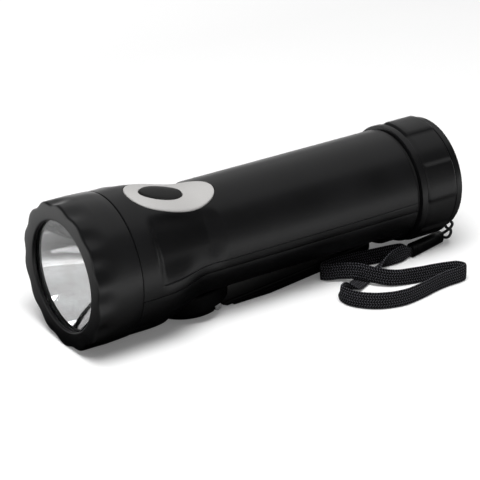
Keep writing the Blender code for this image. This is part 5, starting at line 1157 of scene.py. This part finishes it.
class TORCH_OT_crank(bpy.types.Operator):
    """Make the crank: hub, hinge pin, arm and knob"""

    bl_idname = "torch.crank"
    bl_label = "Crank"

    def hub(self, material):
        edge = 0.0004
        foot = arc(HUB_RADIUS - HUB_ROUND, HUB_BOTTOM + HUB_ROUND, HUB_ROUND, range(-90, 1, 9))
        drum = turn([(0, HUB_BOTTOM)] + foot
                    + [(HUB_RADIUS, HUB_TOP - edge), (HUB_RADIUS - edge, HUB_TOP), (0, HUB_TOP)], 128)
        front = -CLEVIS_FRONT
        outline = ([(front + 0.0015, -CLEVIS_DROP), (PIN_BEHIND_HUB - 0.0030, -CLEVIS_DROP)]
                   + arc(PIN_BEHIND_HUB, 0, KNUCKLE_RADIUS, range(-90, 46, 9))
                   + [(PIN_BEHIND_HUB, HUB_BOTTOM + 0.0022), (PIN_BEHIND_HUB, HUB_TOP / 2),
                      (front, HUB_TOP / 2), (front, CLEVIS_DROP)])
        far = 2 * HUB_RADIUS
        slot_top = KNUCKLE_RADIUS + 0.0030
        notch = PIN_BEHIND_HUB - PIN_NOTCH_FRONT
        cuts = [block((-SLOT_HALF_WIDTH, PIN_BEHIND_HUB - 0.0062, -HUB_TOP),
                      (SLOT_HALF_WIDTH, far, slot_top)),
                block((-far, PIN_BEHIND_HUB + KNUCKLE_RADIUS + 0.0004, -HUB_TOP), (far, far, slot_top)),
                moved(pin_hole(), Matrix.Translation((0, PIN_BEHIND_HUB, 0))),
                rod(SHAFT_RADIUS + GAP, HUB_TOP * 0.52 - GAP, 2 * HUB_TOP),
                block((-far, notch, -HUB_TOP), (-CLEVIS_HALF_WIDTH, far, PIN_NOTCH_HEIGHT)),
                block((CLEVIS_HALF_WIDTH, notch, -HUB_TOP), (far, far, PIN_NOTCH_HEIGHT))]
        piece("crank_hub_moulded", carve(drum, cuts, [side_prism(outline, CLEVIS_HALF_WIDTH)]), HUB_FRAME,
              material, "crank", "crank_hub", sharp=30)

    def pin(self, material):
        end, head = CLEVIS_HALF_WIDTH + GAP, PIN_HEAD_LENGTH
        half = [(PIN_RADIUS, end), (PIN_HEAD_RADIUS, end), (PIN_HEAD_RADIUS, end + head / 2),
                (PIN_HEAD_RADIUS - 0.0003, end + head), (0, end + head)]
        profile = [(r, -s) for r, s in half[::-1]] + half
        piece("hinge_pin_turned", turn(profile, 64), ARM_FRAME @ ALONG_PIN, material, "crank", "hinge_pin")

    def arm(self, material):
        under = ARM_THICKNESS - ARM_TOP
        round_start = ARM_LENGTH - ARM_END_HALF_WIDTH

        def underside(t):
            if t < ARM_HEEL - 0.0010:
                return min(KNUCKLE_RADIUS, (t * sin(FOLD_OUT) - CLEVIS_DROP - GAP) / -cos(FOLD_OUT))
            return min((PIN_ABOVE_GROUND + t * sin(TILT)) / cos(TILT), under)

        def half_width(t):
            width = blend(ARM_HALF_WIDTH, ARM_END_HALF_WIDTH, ease((t - ARM_HEEL) / (ARM_LENGTH - ARM_HEEL)))
            if t > round_start:
                width *= sqrt(max(1 - ((t - round_start) / ARM_END_HALF_WIDTH) ** 2, 0.02))
            return width

        def ring(t):
            half, low, high = half_width(t), -underside(t), ARM_TOP
            edge = min(0.0008, half / 3, (high - low) / 3)
            line, step = (high + low) / 2, min(ARM_LINE, (high - low) / 8)
            groove = [(half, line - step), (half - step, line), (half, line + step)]
            points = (arc(half - edge, high - edge, edge, range(0, 91, 15))
                      + arc(edge - half, high - edge, edge, range(90, 181, 15))
                      + [(-x, z) for x, z in groove[::-1]]
                      + arc(edge - half, low + edge, edge, range(180, 271, 15))
                      + arc(half - edge, low + edge, edge, range(270, 361, 15)) + groove)
            return [(x, t, z) for x, z in points]

        meets = (under * cos(TILT) - PIN_ABOVE_GROUND) / sin(TILT)
        stations = [KNUCKLE_RADIUS + 0.0007, 0.0034, 0.0042, 0.0047, ARM_SHOULDER, ARM_HEEL - 0.0011,
                    ARM_HEEL, ARM_HEEL + 0.004, meets - 0.0005, meets + 0.0005]
        stations += [blend(meets + 0.0005, round_start, i / 12) for i in range(1, 13)]
        stations += [round_start + ARM_END_HALF_WIDTH * sin(radians(a)) for a in range(6, 91, 6)]
        tongue = arc(0, 0, KNUCKLE_RADIUS, range(90, 271, 9))
        back = ARM_SHOULDER - 0.0002
        tongue += [(back, -KNUCKLE_RADIUS + 0.0001), (back, ARM_TOP - 0.0002)]
        knob, low = (0, KNOB_AT), -2 * ARM_THICKNESS
        cuts = [pin_hole(), rod(KNOB_RADIUS + RUNNING, ARM_TOP - KNOB_RECESS, ARM_TOP + 0.005, 64, knob),
                rod(KNOB_AXLE_RADIUS + GAP, low, ARM_THICKNESS, 32, knob),
                rod(KNOB_AXLE_RADIUS + 0.0010 + GAP, low, 0.0008 + 2 * GAP - under, 32, knob)]
        bm = carve(loft([ring(t) for t in stations]), cuts, [side_prism(tongue, SLOT_HALF_WIDTH - GAP)])
        piece("crank_arm_moulded", bm, ARM_FRAME, material, "arm", "crank_arm", sharp=30)

    def knob(self, material):
        ceiling = (HUB_DROP - BAY_HEIGHT - (PIN_BEHIND_HUB + KNOB_AT) * sin(TILT)) / cos(TILT)
        top = ceiling - KNOB_UNDER_CEILING - KNOB_RADIUS * sin(TILT)
        low = ARM_TOP - KNOB_RECESS + GAP
        bore, edge = KNOB_AXLE_RADIUS + GAP, 0.0012
        waist = [(KNOB_RADIUS * (1 - 0.14 * sin(pi * i / 16)), blend(low + 0.0008, top - edge, i / 16))
                 for i in range(17)]
        profile = ([(bore, low), (KNOB_RADIUS * 0.92, low), (KNOB_RADIUS * 0.97, low + 0.0003)] + waist
                   + arc(KNOB_RADIUS - edge, top - edge, edge, (30, 60, 90))
                   + [(0, top), (0, top - edge + GAP), (bore, top - edge + GAP)])
        piece("crank_knob_turned", turn(profile), KNOB_FRAME, material, "knob", "crank_knob", sharp=34)

    def execute(self, context):
        made = finishes(context)
        self.hub(made["crank"])
        self.pin(made["pin"])
        self.arm(made["crank"])
        self.knob(made["crank"])
        return {"FINISHED"}


class TORCH_OT_works(bpy.types.Operator):
    """Give the inner pieces that stay as solids their finishes"""

    bl_idname = "torch.works"
    bl_label = "Inner works"

    def execute(self, context):
        made = finishes(context)
        looks = {
            "seal": ("lens_seal", "tail_seal", "tactile_switch"),
            "board": ("led_board", "control_board"),
            "nylon": ("led_holder", "drive_gear", "idler_gear_one", "idler_gear_two", "battery_holder"),
            "sheet": ("gear_plate_lower", "gear_plate_upper", "generator_case"),
            "steel": ("crank_shaft", "rotor_shaft", "idler_axle_one", "idler_axle_two", "knob_axle",
                      "battery_spring", "board_screw_left", "board_screw_right"),
            "brass": ("shaft_bush", "rotor_pinion", "gear_post_middle_left", "gear_post_middle_right",
                      "gear_post_rear_left", "gear_post_rear_right"),
            "screw": ("shell_screw_front_left", "shell_screw_front_right", "shell_screw_rear_left",
                      "shell_screw_rear_right"),
            "copper": ("generator_coil",),
            "ferrite": ("rotor_magnet",),
            "cell": ("battery",),
            "wire_red": ("led_lead",),
            "wire_black": ("battery_lead",),
            "wire_yellow": ("generator_lead",),
        }
        for look, nodes in looks.items():
            for node in nodes:
                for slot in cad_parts[node].material_slots:
                    slot.material = made[look]
        return {"FINISHED"}


class TORCH_OT_stage(bpy.types.Operator):
    """Set the pale floor, the white surroundings and the soft lights"""

    bl_idname = "torch.stage"
    bl_label = "Stage"

    def floor(self):
        """White to the camera; reflections see it dark near the torch, as in the photograph."""
        bm = bmesh.new()
        bmesh.ops.create_grid(bm, x_segments=1, y_segments=1, size=6)
        obj = as_object("floor", bm)
        material = bpy.data.materials.new("floor_white")
        material.use_nodes = True
        material.node_tree.nodes.clear()
        nodes = Nodes(material.node_tree)
        rays = nodes.add("LightPath", None)
        flat = nodes.add("VectorMath", 0, {0: nodes.coordinates(), 1: (1, 0.35, 0)}, operation="MULTIPLY")
        away = nodes.add("VectorMath", "Value", {0: flat}, operation="LENGTH")
        mirrored = nodes.math("MULTIPLY", nodes.range(away, 0, 1, (0.035, 0.130)), rays["Is Glossy Ray"])
        seen = nodes.math("MAXIMUM", rays["Is Camera Ray"], mirrored)
        bounced = nodes.math("SUBTRACT", 0.25, rays["Is Glossy Ray"])
        shade = nodes.math("MAXIMUM", nodes.math("MULTIPLY", seen, 0.90), bounced)
        lift = nodes.math("MULTIPLY", seen, nodes.range(away, 0.12, 1.0, (0.25, 1.20)))
        both = nodes.add("AddShader", 0, {0: nodes.add("BsdfDiffuse", 0, {"Color": shade}),
                                          1: nodes.add("Emission", 0, {"Strength": lift})})
        nodes.add("OutputMaterial", None, {"Surface": both})
        obj.data.materials.append(material)

    def surroundings(self, context):
        """White to the camera and through the lens; reflections see it dim overhead and past the tail."""
        world = bpy.data.worlds.new("studio")
        context.scene.world = world
        world.use_nodes = True
        world.node_tree.nodes.clear()
        nodes = Nodes(world.node_tree)
        rays = nodes.add("LightPath", None)
        way = nodes.add("SeparateXYZ", None, {"Vector": nodes.add("TexCoord", "Generated")})
        mirrored = nodes.math("MULTIPLY", nodes.range(way["Z"], 0.7, 0.20, (0.0, 0.45)),
                              nodes.range(way["Y"], 1.0, 0.10, (0.60, 0.78)))
        seen = nodes.math("MAXIMUM", rays["Is Camera Ray"], rays["Is Transmission Ray"])
        level = nodes.mix(seen, nodes.mix(rays["Is Glossy Ray"], 0.32, mirrored), 1.0)
        nodes.add("OutputWorld", None, {"Surface": nodes.add("Background", 0, {"Strength": level})})

    def lamp(self, context, name, place, size, power, diffuse=True, reflected=True):
        data = bpy.data.lights.new(name, "AREA")
        data.size = size
        data.energy = power
        obj = bpy.data.objects.new(name, data)
        context.scene.collection.objects.link(obj)
        obj.visible_camera = False
        obj.visible_diffuse = diffuse
        obj.visible_glossy = reflected
        way = Vector(place) - Vector((0, 0, LAMPS_AIM))
        obj.matrix_world = Matrix.Translation(place) @ way.to_track_quat("Z", "Y").to_matrix().to_4x4()

    def execute(self, context):
        context.scene.view_settings.view_transform = "Standard"
        self.floor()
        self.surroundings(context)
        self.lamp(context, "softbox_behind", (-0.42, 0.66, 1.10), 1.8, 5.0, diffuse=False)
        self.lamp(context, "softbox_above", (0.45, -0.35, 1.30), 0.75, 21.0, reflected=False)
        self.lamp(context, "softbox_front", (-0.35, -1.20, 0.35), 0.6, 1.2)
        return {"FINISHED"}


class TORCH_PT_panel(bpy.types.Panel):
    """Lists the torch's pieces and sizes"""

    bl_idname = "TORCH_PT_panel"
    bl_label = "Dynamo flashlight"
    bl_space_type = "VIEW_3D"
    bl_region_type = "UI"
    bl_category = "Torch"

    def draw(self, context):
        layout = self.layout
        for group in (context.scene.torch_sizes, context.scene.torch_colours):
            column = layout.column(align=True)
            for key in group.__annotations__:
                column.prop(group, key)
        for operator in OPERATORS:
            layout.operator(operator.bl_idname)


OPERATORS = (TORCH_OT_camera, TORCH_OT_strap, TORCH_OT_bezel, TORCH_OT_lamp, TORCH_OT_shells, TORCH_OT_switch,
             TORCH_OT_tail_cap, TORCH_OT_crank, TORCH_OT_works, TORCH_OT_stage)
CLASSES = (TorchSizes, TorchColours) + OPERATORS + (TORCH_PT_panel,)


def register():
    for cls in CLASSES:
        bpy.utils.register_class(cls)
    bpy.types.Scene.torch_sizes = PointerProperty(type=TorchSizes)
    bpy.types.Scene.torch_colours = PointerProperty(type=TorchColours)


def unregister():
    del bpy.types.Scene.torch_colours
    del bpy.types.Scene.torch_sizes
    for cls in reversed(CLASSES):
        bpy.utils.unregister_class(cls)


def main():
    register()
    bpy.ops.torch.camera()
    bpy.ops.torch.strap()
    bpy.ops.torch.bezel()
    bpy.ops.torch.lamp()
    bpy.ops.torch.shells()
    bpy.ops.torch.switch()
    bpy.ops.torch.tail_cap()
    bpy.ops.torch.crank()
    bpy.ops.torch.works()
    bpy.ops.torch.stage()
    bpy.context.view_layer.update()


if __name__ == "__main__":
    main()
